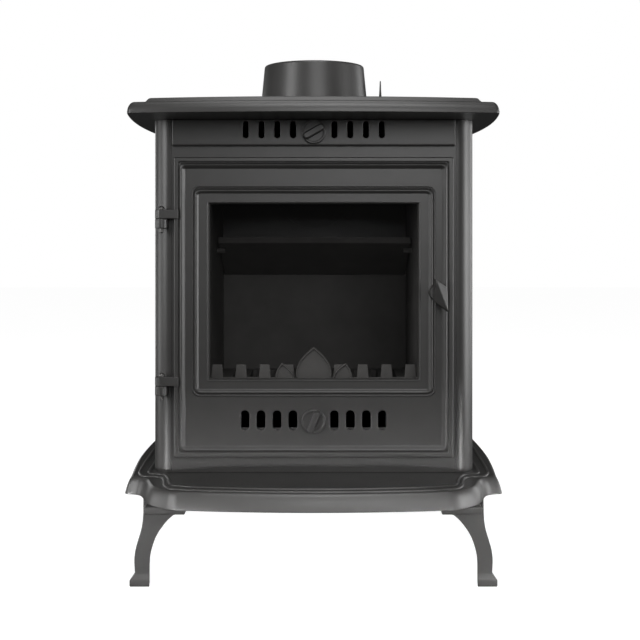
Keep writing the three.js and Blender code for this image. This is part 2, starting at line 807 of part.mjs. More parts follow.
function slotRow(width, height, z, first, pitch, y0, y1, outline = slotOutline) {
  return [-1, 1].flatMap((side) => Array.from({ length: slotsPerSide }, (_, i) => (
    prismY(outline(width, height, side * (first + i * pitch), z), y0, y1, 2)
  )));
}

const upperSlots = [upperSlotWidth, upperSlotHeight, upperSlotZ, upperSlotFirst, upperSlotPitch];
const lowerSlots = [lowerSlotWidth, lowerSlotHeight, lowerSlotZ, lowerSlotFirst, lowerSlotPitch];
const shutterRail = upperSlotZ - upperSlotHeight / 2 - 3;

function frontFrame() {
  const face = prismY(polygon([
    [-frameHalfWidth, panelBottom],
    [frameHalfWidth, panelBottom],
    [frameHalfWidth, panelTop],
    [-frameHalfWidth, panelTop],
  ]), bodyFront, frameBack);
  const y0 = bodyFront - overlapCut;
  const y1 = frameBack + overlapCut;
  const opening = prismY(roundedBox(doorHalfWidth - openMargin, openBottom, openTop, 4), y0, y1, 3);
  const slots = slotRow(...upperSlots, y0, y1, windowOutline);
  const spindle = rodY(0, upperKnobZ, knobSpindle + pinPlay, y0, y1);
  const hookInner = 2 * crankDisc;
  const lipFront = frameBack + shutterThick + 2 * gap;
  const hooks = [-1, 1].map((side) => {
    const inner = side * hookInner;
    const outer = side * (upperSlotFirst + upperSlotPitch * slotsPerSide);
    const x0 = Math.min(inner, outer);
    const x1 = Math.max(inner, outer);
    return join(
      block(x0, x1, frameBack - 1, lipFront + 3, shutterRail - 3, shutterRail),
      block(x0, x1, lipFront, lipFront + 3, shutterRail - 1, shutterRail + 2.5),
    );
  });
  return join(cut(face, opening, slots, spindle), hooks);
}

// ---------------------------------------------------------------- fascia and air controls

const fasciaFront = bodyFront - gap - fasciaThick;

function upperFascia() {
  const back = bodyFront - gap;
  const edge = 1.2;
  const panel = lofted([
    frameRing(fasciaHalfWidth, fasciaBottom, panelTop, 1, back, 2),
    frameRing(fasciaHalfWidth, fasciaBottom, panelTop, 1, fasciaFront + edge, 2),
    frameRing(fasciaHalfWidth - edge, fasciaBottom + edge, panelTop - edge, 1, fasciaFront, 2),
  ]);
  const y0 = fasciaFront - overlapCut;
  const y1 = back + overlapCut;
  return cut(panel, slotRow(...upperSlots, y0, y1), rodY(0, upperKnobZ, knobSpindle + pinPlay, y0, y1));
}

// The disc and grip bar that the hand turns, on a spindle that runs back to spindleEnd.
function airKnob(z, seatY, spindleEnd, angle) {
  const front = seatY - gap - knobThick;
  const disc = new THREE.LatheGeometry([
    [0, 0], [knobRadius, 0], [knobRadius, knobThick - 1.5], [knobRadius - 1.5, knobThick], [0, knobThick],
  ].map(([r, h]) => new THREE.Vector2(r, h)), 24).rotateX(Math.PI);
  const grip = prismY(
    roundedBox(gripLength / 2, -gripWidth / 2, gripWidth / 2, gripWidth / 2 - 0.2),
    front - gripHeight,
    front + 1,
    4,
  );
  const turned = grip.rotate([0, -THREE.MathUtils.radToDeg(angle), 0]).translate([0, 0, z]);
  const spindle = rodY(0, z, knobSpindle, seatY - gap - 1, spindleEnd);
  return join(toSolid(disc.translate(0, seatY - gap, z)), turned, spindle);
}

// The crank disc on the spindle's rear end, whose pin reaches forward into the shutter.
function airCrank(z, frontFaceY) {
  const half = crankSwing / 2;
  const pinX = -crankThrow * Math.sin(half);
  const pinZ = z + crankThrow * Math.cos(half);
  const disc = rodY(0, z, crankDisc, frontFaceY, frontFaceY + crankThick, 20);
  const pin = rodY(pinX, pinZ, crankPin, frontFaceY - shutterThick, frontFaceY + 1, 12);
  return cut(join(disc, pin), rodY(0, z, knobSpindle + 0.05, frontFaceY - 9, frontFaceY + 9));
}

const shutterTravel = 2 * crankThrow * Math.sin(crankSwing / 2);

// The sliding plate behind a row of slots. At rest its own slots stand behind them, open.
function airShutter([width, height, slotZ, first, pitch], knobZ, bottom, top, frontFaceY) {
  const slotWidth = Math.min(width, pitch - width - 0.2);
  const half = first + pitch * (slotsPerSide - 1) + slotWidth / 2 + 4;
  const backFaceY = frontFaceY + shutterThick;
  const plate = block(-half, half, frontFaceY, backFaceY, bottom, top);
  const y0 = frontFaceY - overlapCut;
  const y1 = backFaceY + overlapCut;
  const slots = slotRow(slotWidth, height - 2, slotZ, first, pitch, y0, y1, windowOutline);
  const clear = knobSpindle + pinPlay + 0.2;
  const runHalf = clear + shutterTravel / 2;
  const run = roundedBox(runHalf, knobZ - clear, knobZ + clear, clear - 0.1, -shutterTravel / 2);
  const swing = crankSwing / 2;
  const pinLow = knobZ + crankThrow * Math.cos(swing) - crankPin - crankPlay;
  const pinHigh = knobZ + crankThrow + crankPin + crankPlay;
  const pinX = -crankThrow * Math.sin(swing);
  const pinHalf = crankPin + crankPlay;
  const pinSlot = roundedBox(pinHalf, pinLow, pinHigh, pinHalf - 0.3, pinX);
  return cut(plate, slots, prismY(run, y0, y1, 3), prismY(pinSlot, y0, y1, 3));
}

const upperShutterY = frameBack + gap;
const upperCrankY = upperShutterY + shutterThick + gap;
const lowerPocketY = doorFront + doorField + doorWall;
const lowerShutterY = lowerPocketY + gap;
const lowerCrankY = lowerShutterY + shutterThick + gap;
const lowerShutterBottom = lowerSlotZ - lowerSlotHeight / 2 - 5;
const lowerShutterTop = lowerSlotZ + lowerSlotHeight / 2 + 5;

// ---------------------------------------------------------------- door

const glassHalf = windowHalfWidth + glassOverlap;
const glassBottom = windowBottom - glassOverlap;
const glassTop = windowTop + glassOverlap;
const rebateFloor = doorBack - rebateDepth;
const gasketY = rebateFloor + gap;
const glassY = gasketY + gasketThick + gap;
const glassBack = glassY + glassThick;
const clipY = Math.max(glassBack, doorBack) + gap;
const clipPlaces = [-1, 1].flatMap((side) => [
  [side * clipX, glassBottom - clipLength / 2 + clipOverlap, side < 0 ? 'lower_left' : 'lower_right', -1],
  [side * clipX, glassTop + clipLength / 2 - clipOverlap, side < 0 ? 'upper_left' : 'upper_right', 1],
]);

// One ring of the door's front, moved in from its edge, at a height over the flat field.
function doorRing(moved, height, radius) {
  const y = doorFront + doorField - height;
  return frameRing(doorHalfWidth - moved, doorBottom + moved, doorTop - moved, radius, y);
}

function doorBlank() {
  const border = doorField;
  return lofted([
    frameRing(doorHalfWidth, doorBottom, doorTop, 1.5, doorBack),
    doorRing(0, border - 2.6, 1.5),
    doorRing(0.9, border - 0.7, 1.5),
    doorRing(2.6, border, 1.5),
    doorRing(5.4, border, 2.2),
    doorRing(7, border - 1.9, 4.5),
    doorRing(8.4, border - 0.2, 6),
    doorRing(10.8, border + 1, 5.5),
    doorRing(13.4, border, 3),
    doorRing(14.8, 0, 1.6),
  ]);
}

// One ring of the moulding round the window, moved in from the moulding's outer edge.
function mouldingRing(moved, height, radius) {
  const reach = windowMoulding - moved;
  const y = doorFront + doorField - height;
  const half = windowHalfWidth + reach;
  return frameRing(half, windowBottom - reach, windowTop + reach, radius, y);
}

function windowMouldingRing() {
  return lofted([
    mouldingRing(0, -1, 9),
    mouldingRing(0, 0.1, 9),
    mouldingRing(0.5, 1.4, 9),
    mouldingRing(1.6, 2, 8.5),
    mouldingRing(2.7, 1.1, 8),
    mouldingRing(3.7, 2.5, 7.5),
    mouldingRing(5.6, mouldingHeight, 7),
    mouldingRing(7.4, 2.4, 4.5),
    mouldingRing(8.2, 0.7, 2),
    mouldingRing(19.2, 0.7, 1.6),
  ]);
}

// The window opening, flared at the front.
function windowCutter() {
  const flare = 3;
  const ring = (grow, y) => (
    frameRing(windowHalfWidth + grow, windowBottom - grow, windowTop + grow, windowRound + grow, y)
  );
  return lofted([
    ring(0, doorBack + overlapCut),
    ring(0, doorFront + doorField + flare),
    ring(flare, doorFront + doorField - 1),
    ring(flare, doorFront - 3 * overlapCut),
  ]);
}

function hoop(halfWidth, bottom, top, width, y0, y1, radius, play) {
  const outer = (y) => frameRing(halfWidth - play, bottom + play, top - play, radius, y);
  const within = width - play;
  const inner = (y) => frameRing(halfWidth - within, bottom + within, top - within, radius - 1, y);
  return lofted([outer(y0), outer(y1), inner(y1), inner(y0)], true);
}

function doorArm(bottom) {
  const eye = rodZ(hingeX, hingeY, knuckleRadius, bottom, bottom + armHeight, 20);
  const back = doorBack - 0.2;
  const reach = -doorHalfWidth + 6;
  const bar = block(hingeX, reach, hingeY - knuckleRadius, back, bottom, bottom + armHeight);
  return join(eye, bar);
}

function doorFrame() {
  const glassSeat = prismY(
    roundedBox(glassHalf + gap, glassBottom - gap, glassTop + gap, 3),
    rebateFloor,
    doorBack + overlapCut,
    3,
  );
  const ropeGroove = hoop(
    doorHalfWidth - ropeInset,
    doorBottom + ropeInset,
    doorTop - ropeInset,
    ropeWidth,
    doorBack - ropeDepth,
    doorBack + overlapCut,
    ropeRound,
    0,
  );
  const lastSlotX = lowerSlotFirst + lowerSlotPitch * (slotsPerSide - 1);
  const pocketHalf = lastSlotX + lowerSlotWidth + shutterTravel + 2;
  const pocket = block(
    -pocketHalf,
    pocketHalf,
    lowerPocketY,
    doorBack + overlapCut,
    lowerShutterBottom - gap,
    lowerShutterTop + gap,
  );
  const y0 = doorFront - 3 * overlapCut;
  const y1 = doorBack + overlapCut;
  const slots = slotRow(...lowerSlots, y0, y1);
  const knobHole = rodY(0, lowerKnobZ, knobSpindle + pinPlay, y0, y1);
  const handleHole = rodY(handleX, handleZ, handleSpindle + pinPlay, y0, y1);
  const screwHoles = clipPlaces.map(([x, z, , away]) => (
    rodY(x, z + away * clipScrewOffset, clipScrewRadius + pinPlay, doorBack - clipScrewDepth - overlapCut,
      doorBack + overlapCut, 10)
  ));
  const pins = armBottoms.map((bottom) => (
    rodZ(hingeX, hingeY, pinRadius + pinPlay, bottom - overlapCut, bottom + armHeight + overlapCut)
  ));
  const solid = join(doorBlank(), windowMouldingRing(), armBottoms.map(doorArm));
  return cut(
    solid, windowCutter(), glassSeat, ropeGroove, pocket, slots, knobHole, handleHole, screwHoles, pins,
  );
}

function doorRope() {
  const play = gap;
  const floor = doorBack - ropeDepth + gap;
  const face = bodyFront - gap;
  const last = ropeWidth - 2 * play;
  const side = (y, slim) => (
    frameRing(
      doorHalfWidth - ropeInset - play - slim,
      doorBottom + ropeInset + play + slim,
      doorTop - ropeInset - play - slim,
      slim > last / 2 ? ropeRound - 1 : ropeRound,
      y,
    )
  );
  return lofted([
    side(floor, 0),
    side(face - 1.5, 0),
    side(face, 1.5),
    side(face, last - 1.5),
    side(face - 1.5, last),
    side(floor, last),
  ], true);
}

function glassGasket() {
  return hoop(glassHalf, glassBottom, glassTop, glassOverlap, gasketY, gasketY + gasketThick, 3, 0.5);
}

function glassPane() {
  return prismY(roundedBox(glassHalf, glassBottom, glassTop, 3), glassY, glassBack, 3);
}

function glassClip([x, z, , away]) {
  const shape = roundedBox(clipWidth / 2, z - clipLength / 2, z + clipLength / 2, 4, x);
  const plate = prismY(shape, clipY, clipY + clipThick, 2);
  const holeZ = z + away * clipScrewOffset;
  const [y0, y1] = [clipY - overlapCut, clipY + clipThick + overlapCut];
  return cut(plate, rodY(x, holeZ, clipScrewRadius + pinPlay, y0, y1, 10));
}

function clipScrew([x, z, , away]) {
  const seat = clipY + clipThick + gap;
  return panScrew(x, z + away * clipScrewOffset, seat, seat - doorBack + clipScrewDepth);
}

function hingePin(armBottom) {
  const seat = armBottom + armHeight + gap;
  const foot = armBottom - gap - knuckleHeight - pinTail;
  const dome = [[0, 0], [pinHead, 0], [pinHead, pinHeadHeight * 0.45], [pinHead * 0.6, pinHeadHeight * 0.9],
    [0, pinHeadHeight]].map(([r, h]) => new THREE.Vector2(r, h));
  const head = new THREE.LatheGeometry(dome, 14).rotateX(Math.PI / 2).translate(hingeX, hingeY, seat);
  return join(toSolid(head), rodZ(hingeX, hingeY, pinRadius, foot, seat + 0.5, 14));
}

// ---------------------------------------------------------------- door handle and latch

const handleSeat = doorFront + doorField - mouldingHeight;
const camFront = frameBack + camBackGap;

function doorHandle() {
  const bossFront = handleSeat - gap - handleBossLength;
  const boss = rodY(handleX, handleZ, handleBoss, bossFront, handleSeat - gap, 24);
  const at = (y) => ([x, z]) => new THREE.Vector3(handleX + x, y, handleZ + z);
  const grip = new ConvexGeometry([
    ...handleOutline.map(at(bossFront + 1)),
    ...handleOutline.map(at(bossFront + 1 - handleFlank)),
    ...handleRidge.map(at(bossFront - handleLift)),
  ]);
  const spindle = rodY(handleX, handleZ, handleSpindle, handleSeat - gap - 1, camFront + camThick);
  return join(boss, toSolid(grip), spindle);
}

// The tongue on the spindle's inner end. It hangs down at rest and swings behind the frame.
function latchCam() {
  const shape = new THREE.Shape();
  const half = camWidth / 2;
  shape.absarc(handleX, handleZ, camHub, 0, Math.PI);
  shape.lineTo(handleX - half, handleZ - camReach + half);
  shape.absarc(handleX, handleZ - camReach + half, half, Math.PI, 2 * Math.PI);
  shape.closePath();
  const tongue = prismY(shape, camFront, camFront + camThick, 8);
  const bore = rodY(handleX, handleZ, handleSpindle + 0.05, camFront - overlapCut, camFront + 2 * camThick);
  return cut(tongue, bore);
}

// ---------------------------------------------------------------- hearth plate

function hearthOutline() {
  const frontBow = (x) => {
    const ratio = x / hearthFrontCorner.x;
    return new THREE.Vector2(x, frontY + (hearthFrontCorner.y - frontY) * ratio * ratio);
  };
  const shares = [0, 1 / 6, 1 / 3, 1 / 2, 2 / 3, 5 / 6];
  const frontEdge = shares.map((share) => frontBow(share * hearthFrontCorner.x));
  const corner = new THREE.CubicBezierCurve(
    hearthFrontCorner,
    new THREE.Vector2(hearthFrontCorner.x + 20, hearthFrontCorner.y + 3),
    new THREE.Vector2(hearthNeck.x - 3, hearthNeck.y - 24),
    hearthNeck,
  );
  const hollow = arc(hearthNeck.x + notchRadius, hearthNeck.y, notchRadius, 180, 90, 4);
  const bulge = arc(hearthNeck.x + notchRadius, hearthLobe.y, notchRadius, 270, 360, 5);
  const widest = new THREE.Vector2(hearthHalfWidth, hearthWideY);
  const sideFront = new THREE.QuadraticBezierCurve(
    hearthLobe,
    new THREE.Vector2(hearthHalfWidth - 1, hearthLobe.y + 108),
    widest,
  );
  const rearCorner = new THREE.Vector2(hearthRearX, rearY);
  const sideRearCurve = new THREE.QuadraticBezierCurve(
    widest,
    new THREE.Vector2(hearthHalfWidth, rearY - 60),
    rearCorner,
  );
  const rearSide = sideRearCurve.getPoints(5);
  return bothHalves([
    ...frontEdge,
    ...corner.getPoints(7).slice(0, -1),
    ...hollow.slice(0, -1),
    ...bulge.slice(0, -1),
    ...sideFront.getPoints(5).slice(0, -1),
    ...rearSide.slice(0, -1),
    ...roundedCorner(rearSide.at(-2), rearCorner, new THREE.Vector2(0, rearY), hearthRearRound),
    new THREE.Vector2(0, rearY),
  ]);
}

// Points along one raised bead: along the front lip, in an S round the corner, back beside the body.
// The two beads run on either side of one line, each moved from it by half their spread.
function beadLine(moved) {
  const { x: cornerX, y: cornerY } = hearthFrontCorner;
  const bow = (x) => frontY + beadInset + (cornerY - frontY) * (x / cornerX) ** 2;
  const sideX = bodyHalfWidth + beadSide;
  const middle = new THREE.CatmullRomCurve3([
    ...[0, 0.35, 0.7, 0.9].map((share) => new THREE.Vector3(share * cornerX, bow(share * cornerX), 0)),
    new THREE.Vector3(cornerX - 1.5, cornerY + 33.5, 0),
    new THREE.Vector3(cornerX + 1, cornerY + 49.5, 0),
    new THREE.Vector3(cornerX + 4.5, cornerY + 66.5, 0),
    new THREE.Vector3(cornerX + 14, cornerY + 80, 0),
    new THREE.Vector3(cornerX + 26, cornerY + 85.5, 0),
    new THREE.Vector3(sideX - 4.5, bodyFront - 12, 0),
    new THREE.Vector3(sideX, bodyFront + 2, 0),
    new THREE.Vector3(sideX, 0, 0),
    new THREE.Vector3(sideX, bodyBack - 2, 0),
  ], false, 'centripetal').getPoints(24);
  const half = middle.map((point, i) => {
    const before = middle[Math.max(i - 1, 0)];
    const after = middle[Math.min(i + 1, middle.length - 1)];
    const way = i === 0 ? new THREE.Vector3(1, 0, 0) : after.clone().sub(before).normalize();
    return new THREE.Vector2(point.x + way.y * moved, point.y - way.x * moved);
  });
  const left = half.slice(1).reverse().map((point) => new THREE.Vector2(-point.x, point.y));
  return [...left, ...half];
}

function bead(moved) {
  const line = beadLine(moved);
  return lofted([
    ringAtZ(strip(line, beadWidth), floorZ - 2),
    ringAtZ(strip(line, beadWidth), floorZ),
    ringAtZ(strip(line, beadCrown), floorZ + beadRaise),
  ]);
}

// Half the outline of the pocket under the plate, which leaves a rim inside the lip.
function hearthPocketHalf() {
  const rim = hearthLipReach + 5.5;
  return [
    [0, frontY + rim],
    [hearthFrontCorner.x - rim, hearthFrontCorner.y + rim],
    [hearthNeck.x - rim, hearthNeck.y - rim],
    [hearthNeck.x - rim, hearthLobe.y + rim],
    [hearthLobe.x - rim, hearthLobe.y + rim],
    [hearthHalfWidth - rim, hearthWideY],
    [hearthRearX - rim, rearY - rim],
    [0, rearY - rim],
  ].map(([x, y]) => new THREE.Vector2(x, y));
}

// A strip of even width along an open line.
function strip(line, width) {
  const side = (sign) => line.map((point, i) => {
    const before = line[Math.max(i - 1, 0)];
    const after = line[Math.min(i + 1, line.length - 1)];
    const normal = new THREE.Vector2(before.y - after.y, after.x - before.x).normalize();
    return point.clone().addScaledVector(normal, (sign * width) / 2);
  });
  return [...side(-1), ...side(1).reverse()];
}

function legFlange(isFront) {
  const front = isFront ? frontLegY : rearLegY;
  const rear = front + legThick;
  return isFront
    ? { y0: front - legFlangeFar, y1: rear + legFlangeNear, boltY: rear + legFlangeNear / 2 }
    : { y0: front - legFlangeNear, y1: rear, boltY: front - legFlangeNear / 2 };
}

const legPlaces = [-1, 1].flatMap((side) => [
  { side, isFront: true, name: side < 0 ? 'front_left' : 'front_right' },
  { side, isFront: false, name: side < 0 ? 'rear_left' : 'rear_right' },
]);

function hearthPlate() {
  const outline = hearthOutline();
  const plate = lofted([
    ringAtZ(inset(outline, 1.4), hearthUnder),
    ...roundedLip((moved) => inset(outline, moved), hearthLipReach, hearthThick - hearthLipFoot,
      hearthUnder + hearthLipFoot, 4),
  ]);
  const beads = [-1, 1].map((side) => bead((side * beadSpread) / 2));
  const pads = legPlaces.map(({ side, isFront }) => {
    const { y0, y1 } = legFlange(isFront);
    const x0 = side < 0 ? -hearthHalfWidth : legFlangeInner - 5;
    const x1 = side < 0 ? -legFlangeInner + 5 : hearthHalfWidth;
    return block(x0, x1, y0 - 5, y1 + 3, hearthUnder - 9, floorZ);
  });
  const pocketShape = new THREE.Shape(bothHalves(hearthPocketHalf()));
  const pocket = cut(prismZ(pocketShape, hearthUnder - overlapCut, floorZ - hearthSkin), pads);
  const rods = tieRodPlaces.map(([x, y]) => (
    rodZ(x, y, tieRod + pinPlay, hearthUnder - overlapCut, floorZ + 2 * overlapCut)
  ));
  const bolts = legPlaces.map(({ side, isFront }) => (
    rodZ(side * legBoltX, legFlange(isFront).boltY, boltRadius + pinPlay, hearthUnder - 2, floorZ - 5, 12)
  ));
  return cut(join(plate, beads), pocket, rods, bolts);
}

// ---------------------------------------------------------------- legs

const footInnerX = footOuterX - footWidth;
const ankleZ = footHeight + footFlare;
const ankleOuterX = footOuterX - 5;
const ankleInnerX = footInnerX + 1.4;

// The curved blade of a leg, seen from the front, with the flange's root at its top.
function bladeOutline(top) {
  const outline = new THREE.Shape();
  outline.moveTo(ankleOuterX, footHeight - 2);
  outline.lineTo(ankleOuterX, ankleZ);
  outline.bezierCurveTo(ankleOuterX - 3.4, 30, legTopX - 0.6, 58, legTopX, 84);
  outline.lineTo(legTopX, top - 1);
  outline.lineTo(legFlangeInner + 6, top - 1);
  outline.lineTo(legFlangeInner + 6, top - legFlangeThick - 8);
  outline.bezierCurveTo(legTopX - 34.6, 86, legTopX - 13.6, 70, legTopX - 8.6, 42);
  outline.quadraticCurveTo(footInnerX, 30, ankleInnerX, ankleZ);
  outline.lineTo(ankleInnerX, footHeight - 2);
  outline.closePath();
  return outline;
}

// The foot: a block whose top slopes in to the ankle on all sides.
function foot(web) {
  const ring = (outerX, innerX, slim, z) => [
    new THREE.Vector3(outerX, web + slim, z),
    new THREE.Vector3(outerX, web + legThick - slim, z),
    new THREE.Vector3(innerX, web + legThick - slim, z),
    new THREE.Vector3(innerX, web + slim, z),
  ];
  const middleZ = footHeight + footFlare * 0.35;
  return lofted([
    ring(footOuterX, footInnerX, 0, 0),
    ring(footOuterX, footInnerX, 0, footHeight),
    ring(footOuterX - 3, footInnerX + 0.9, legSlim * 0.6, middleZ),
    ring(ankleOuterX, ankleInnerX, legSlim, ankleZ),
  ]);
}

function rightLeg(isFront) {
  const web = isFront ? frontLegY : rearLegY;
  const top = hearthUnder - gap;
  const flangeBottom = top - legFlangeThick;
  const blade = prismY(bladeOutline(top), web + legSlim, web + legThick - legSlim, 7);
  const { y0, y1, boltY } = legFlange(isFront);
  const flange = block(legFlangeInner, legTopX - 2, y0, y1, flangeBottom, top);
  const bolt = rodZ(legBoltX, boltY, boltRadius + pinPlay, flangeBottom - 2, top + 2, 12);
  return cut(join(blade, foot(web), flange), bolt);
}

// ---------------------------------------------------------------- firebox lining

const liningBottom = ledgeTop + gap;
const sideLinerFront = bodyFront + wall + 6;
const sideLinerRear = linerBackFace - gap;

function rightLiner() {
  const outer = linerInner + linerThick;
  const plate = block(linerInner, outer, sideLinerFront, sideLinerRear, liningBottom, sideLinerTop);
  const ribOuter = bodyHalfWidth - wall - gap;
  const [firstRib, lastRib] = [sideLinerFront + 36, linerBackFace - 32];
  const half = linerRibThick / 2;
  const ribs = [firstRib, (firstRib + lastRib) / 2, lastRib].map((y) => (
    block(outer - 1, ribOuter, y - half, y + half, liningBottom, sideLinerTop - 20)
  ));
  const slopeRise = (baffleFrontZ - backLinerTop - gap) / (linerBackFace - baffleFrontY);
  const underside = baffleFrontZ - (bafflePegY - baffleFrontY) * slopeRise;
  const pegZ = underside - bafflePeg * Math.hypot(1, slopeRise) - gap;
  const peg = rodX(bafflePegY, pegZ, bafflePeg, linerInner - bafflePegLength, linerInner + 1, 12);
  return join(plate, ribs, peg);
}

function backLiner() {
  const half = linerInner - gap;
  const plate = block(-half, half, linerBackFace, linerBackFace + linerThick, liningBottom, backLinerTop);
  const ribHalf = linerRibThick / 2;
  const [y0, y1] = [linerBackFace + 1, bodyBack - wall - gap];
  const ribs = [30 - linerInner, 0, linerInner - 30].map((x) => (
    block(x - ribHalf, x + ribHalf, y0, y1, liningBottom, backLinerTop - 20)
  ));
  return join(plate, ribs);
}

function bafflePlate() {
  const rear = linerBackFace + linerThick;
  const slopeRise = (baffleFrontZ - backLinerTop - gap) / (linerBackFace - baffleFrontY);
  const rise = baffleThick * Math.hypot(1, slopeRise);
  const rearZ = backLinerTop + gap;
  const section = polygon([
    [baffleFrontY, baffleFrontZ],
    [linerBackFace, rearZ],
    [rear, rearZ],
    [rear, rearZ + rise * 0.6],
    [linerBackFace, rearZ + rise],
    [baffleFrontY, baffleFrontZ + rise],
  ]);
  const half = linerInner - 3;
  return prismX(section, -half, half);
}

function grate() {
  const half = linerInner - 0.5;
  const rear = linerBackFace - gap;
  const plate = block(-half, half, grateFront, rear, liningBottom, liningBottom + grateThick);
  const pitch = (2 * (half - grateMargin)) / grateSlots;
  const [first, last] = [grateFront + grateMargin, rear - grateMargin];
  const middle = (first + last) / 2;
  const rows = [[first, middle - grateRib / 2], [middle + grateRib / 2, last]];
  const slots = Array.from({ length: grateSlots }, (_, i) => {
    const x = (i - (grateSlots - 1) / 2) * pitch;
    return rows.map(([y0, y1]) => (
      prismZ(roundedBox(grateSlotWidth / 2, y0, y1, grateSlotWidth / 2 - 0.2, x),
        liningBottom - overlapCut, liningBottom + grateThick + overlapCut, 1)
    ));
  });
  return cut(plate, slots.flat());
}

// A leaf of the fence's ornament, pointed at the top.
function leaf(x, halfWidth, top, lean = 0) {
  const base = fenceGap - 14;
  const middle = base + (top - base) * 0.5;
  const shape = new THREE.Shape();
  shape.moveTo(x - halfWidth * 0.55, base);
  shape.quadraticCurveTo(x - halfWidth * 1.35, middle, x + lean, top);
  shape.quadraticCurveTo(x + halfWidth * 1.35, middle, x + halfWidth * 0.55, base);
  shape.closePath();
  return shape;
}

function fireFence() {
  const half = linerInner - 1;
  const bar = block(-half, half, fenceY, fenceY + fenceThick, liningBottom, fenceGap);
  const teeth = [-1, 1].flatMap((side) => Array.from({ length: fenceTeeth }, (_, i) => {
    const x = side * (fenceFirst + i * fencePitch);
    const tip = fenceTooth / 2;
    const root = tip + fenceToothTaper;
    return prismY(polygon([
      [x - root, fenceGap - 1], [x + root, fenceGap - 1], [x + tip, fenceTop], [x - tip, fenceTop],
    ]), fenceY, fenceY + fenceThick);
  }));
  const rear = fenceY + fenceThick - 1;
  const small = [-1, 1].map((side) => {
    const outline = leaf(side * smallLeafX, smallLeafHalf, smallLeafTop, side * smallLeafLean);
    return prismY(outline, fenceY - smallLeafRelief, rear, 6);
  });
  const large = prismY(leaf(0, leafHalf, leafTop), fenceY - leafRelief, rear, 8);
  return join(bar, teeth, small, large);
}

function ashPan() {
  const bottom = floorZ + gap;
  const top = bottom + panHeight;
  const outer = block(-panHalfWidth, panHalfWidth, panFront, panBack, bottom, top);
  const inner = block(
    -panHalfWidth + panWall,
    panHalfWidth - panWall,
    panFront + panWall,
    panBack - panWall,
    bottom + panWall,
    top + overlapCut,
  );
  const tabTop = top - panTabDrop;
  const tabOutline = roundedBox(panTabHalf, panFront - panTabReach, panFront + panWall / 2, panTabThick);
  const tab = prismZ(tabOutline, tabTop - panTabThick, tabTop, 3);
  return join(cut(outer, inner), tab);
}

// ---------------------------------------------------------------- assembly

place('top_plate', topPlate(), 'iron');
place('flue_collar', flueCollar(), 'iron');
place('damper_plate', damperPlate(), 'darkIron');
place('damper_spindle', damperSpindleRod(), 'steel');
place('damper_lever', damperLever(), 'iron');
collarBoltPlaces.forEach(([x, y], i) => {
  const bolt = hexBolt(boltRadius, flangeTop + gap - topUnder - 8).rotate([180, 0, 0]);
  place(`collar_bolt_${i + 1}`, bolt.translate([x, y, flangeTop + gap]), 'steel');
});

place('left_side_panel', leftSidePanel(), 'iron');
place('right_side_panel', rightSidePanel(), 'iron');
place('back_panel', backPanel(), 'iron');
place('rear_outlet_cover', rearOutletCover(), 'iron');
[-1, 1].forEach((side) => {
  const seat = bodyBack + gap + rearCoverThick + gap;
  const bolt = hexBolt(boltRadius, seat - bodyBack + wall - 1).rotate([90, 0, 0]);
  const name = side < 0 ? 'outlet_cover_bolt_left' : 'outlet_cover_bolt_right';
  place(name, bolt.translate([side * rearBoltCircle, seat, rearOutletZ]), 'steel');
});
place('front_frame', frontFrame(), 'iron');

place('upper_fascia', upperFascia(), 'iron');
place(
  'upper_air_shutter',
  airShutter(upperSlots, upperKnobZ, shutterRail + gap, panelTop - gap, upperShutterY),
  'sheet',
);
place('upper_air_knob', airKnob(upperKnobZ, fasciaFront, upperCrankY + crankThick, upperGripAngle), 'iron');
place('upper_air_crank', airCrank(upperKnobZ, upperCrankY), 'steel');

place('door_frame', doorFrame(), 'iron');
place('door_glass', glassPane(), 'glass');
place('glass_gasket', glassGasket(), 'rope');
place('door_rope_seal', doorRope(), 'rope');
clipPlaces.forEach((spot) => {
  place(`glass_clip_${spot[2]}`, glassClip(spot), 'steel');
  place(`glass_clip_screw_${spot[2]}`, clipScrew(spot), 'steel');
});
place(
  'lower_air_shutter',
  airShutter(lowerSlots, lowerKnobZ, lowerShutterBottom, lowerShutterTop, lowerShutterY),
  'sheet',
);
place(
  'lower_air_knob',
  airKnob(lowerKnobZ, doorFront + doorField, lowerCrankY + crankThick, lowerGripAngle),
  'iron',
);
place('lower_air_crank', airCrank(lowerKnobZ, lowerCrankY), 'steel');
place('hinge_pin_upper', hingePin(upperArmBottom), 'steel');
place('hinge_pin_lower', hingePin(lowerArmBottom), 'steel');
place('door_handle', doorHandle(), 'iron');
place('latch_cam', latchCam(), 'steel');

place('hearth_plate', hearthPlate(), 'iron');
legPlaces.forEach(({ side, isFront, name }) => {
  const leg = side < 0 ? mirrored(rightLeg(isFront)) : rightLeg(isFront);
  place(`leg_${name}`, leg, 'iron');
  const seat = hearthUnder - gap - legFlangeThick - gap;
  const bolt = hexBolt(boltRadius, floorZ - 6 - seat);
  place(`leg_bolt_${name}`, bolt.translate([side * legBoltX, legFlange(isFront).boltY, seat]), 'steel');
});
tieRodPlaces.forEach(([x, y, name]) => {
  const seat = floorZ - hearthSkin - gap;
  const rod = hexBolt(tieRod, topFace - topSkin - gap - seat, 2 * tieRod, 6);
  place(`tie_rod_${name}`, rod.translate([x, y, seat]), 'steel');
});

place('left_liner', mirrored(rightLiner()), 'darkIron');
place('right_liner', rightLiner(), 'darkIron');
place('back_liner', backLiner(), 'darkIron');
place('baffle_plate', bafflePlate(), 'darkIron');
place('grate', grate(), 'darkIron');
place('fire_fence', fireFence(), 'darkIron');
place('ash_pan', ashPan(), 'sheet');

export default group;
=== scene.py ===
"""Looks of the cast-iron potbelly stove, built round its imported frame.

Lengths are metres, +Z is up and the stove's front faces -Y. The frame gives each piece its place and
main sizes, and the classes below hold the sizes that only the looks need.
"""

import json
import logging
import math
from dataclasses import dataclass
from enum import Enum
from typing import Any, Iterable, Sequence

import bmesh
import bpy
from mathutils import Matrix, Vector

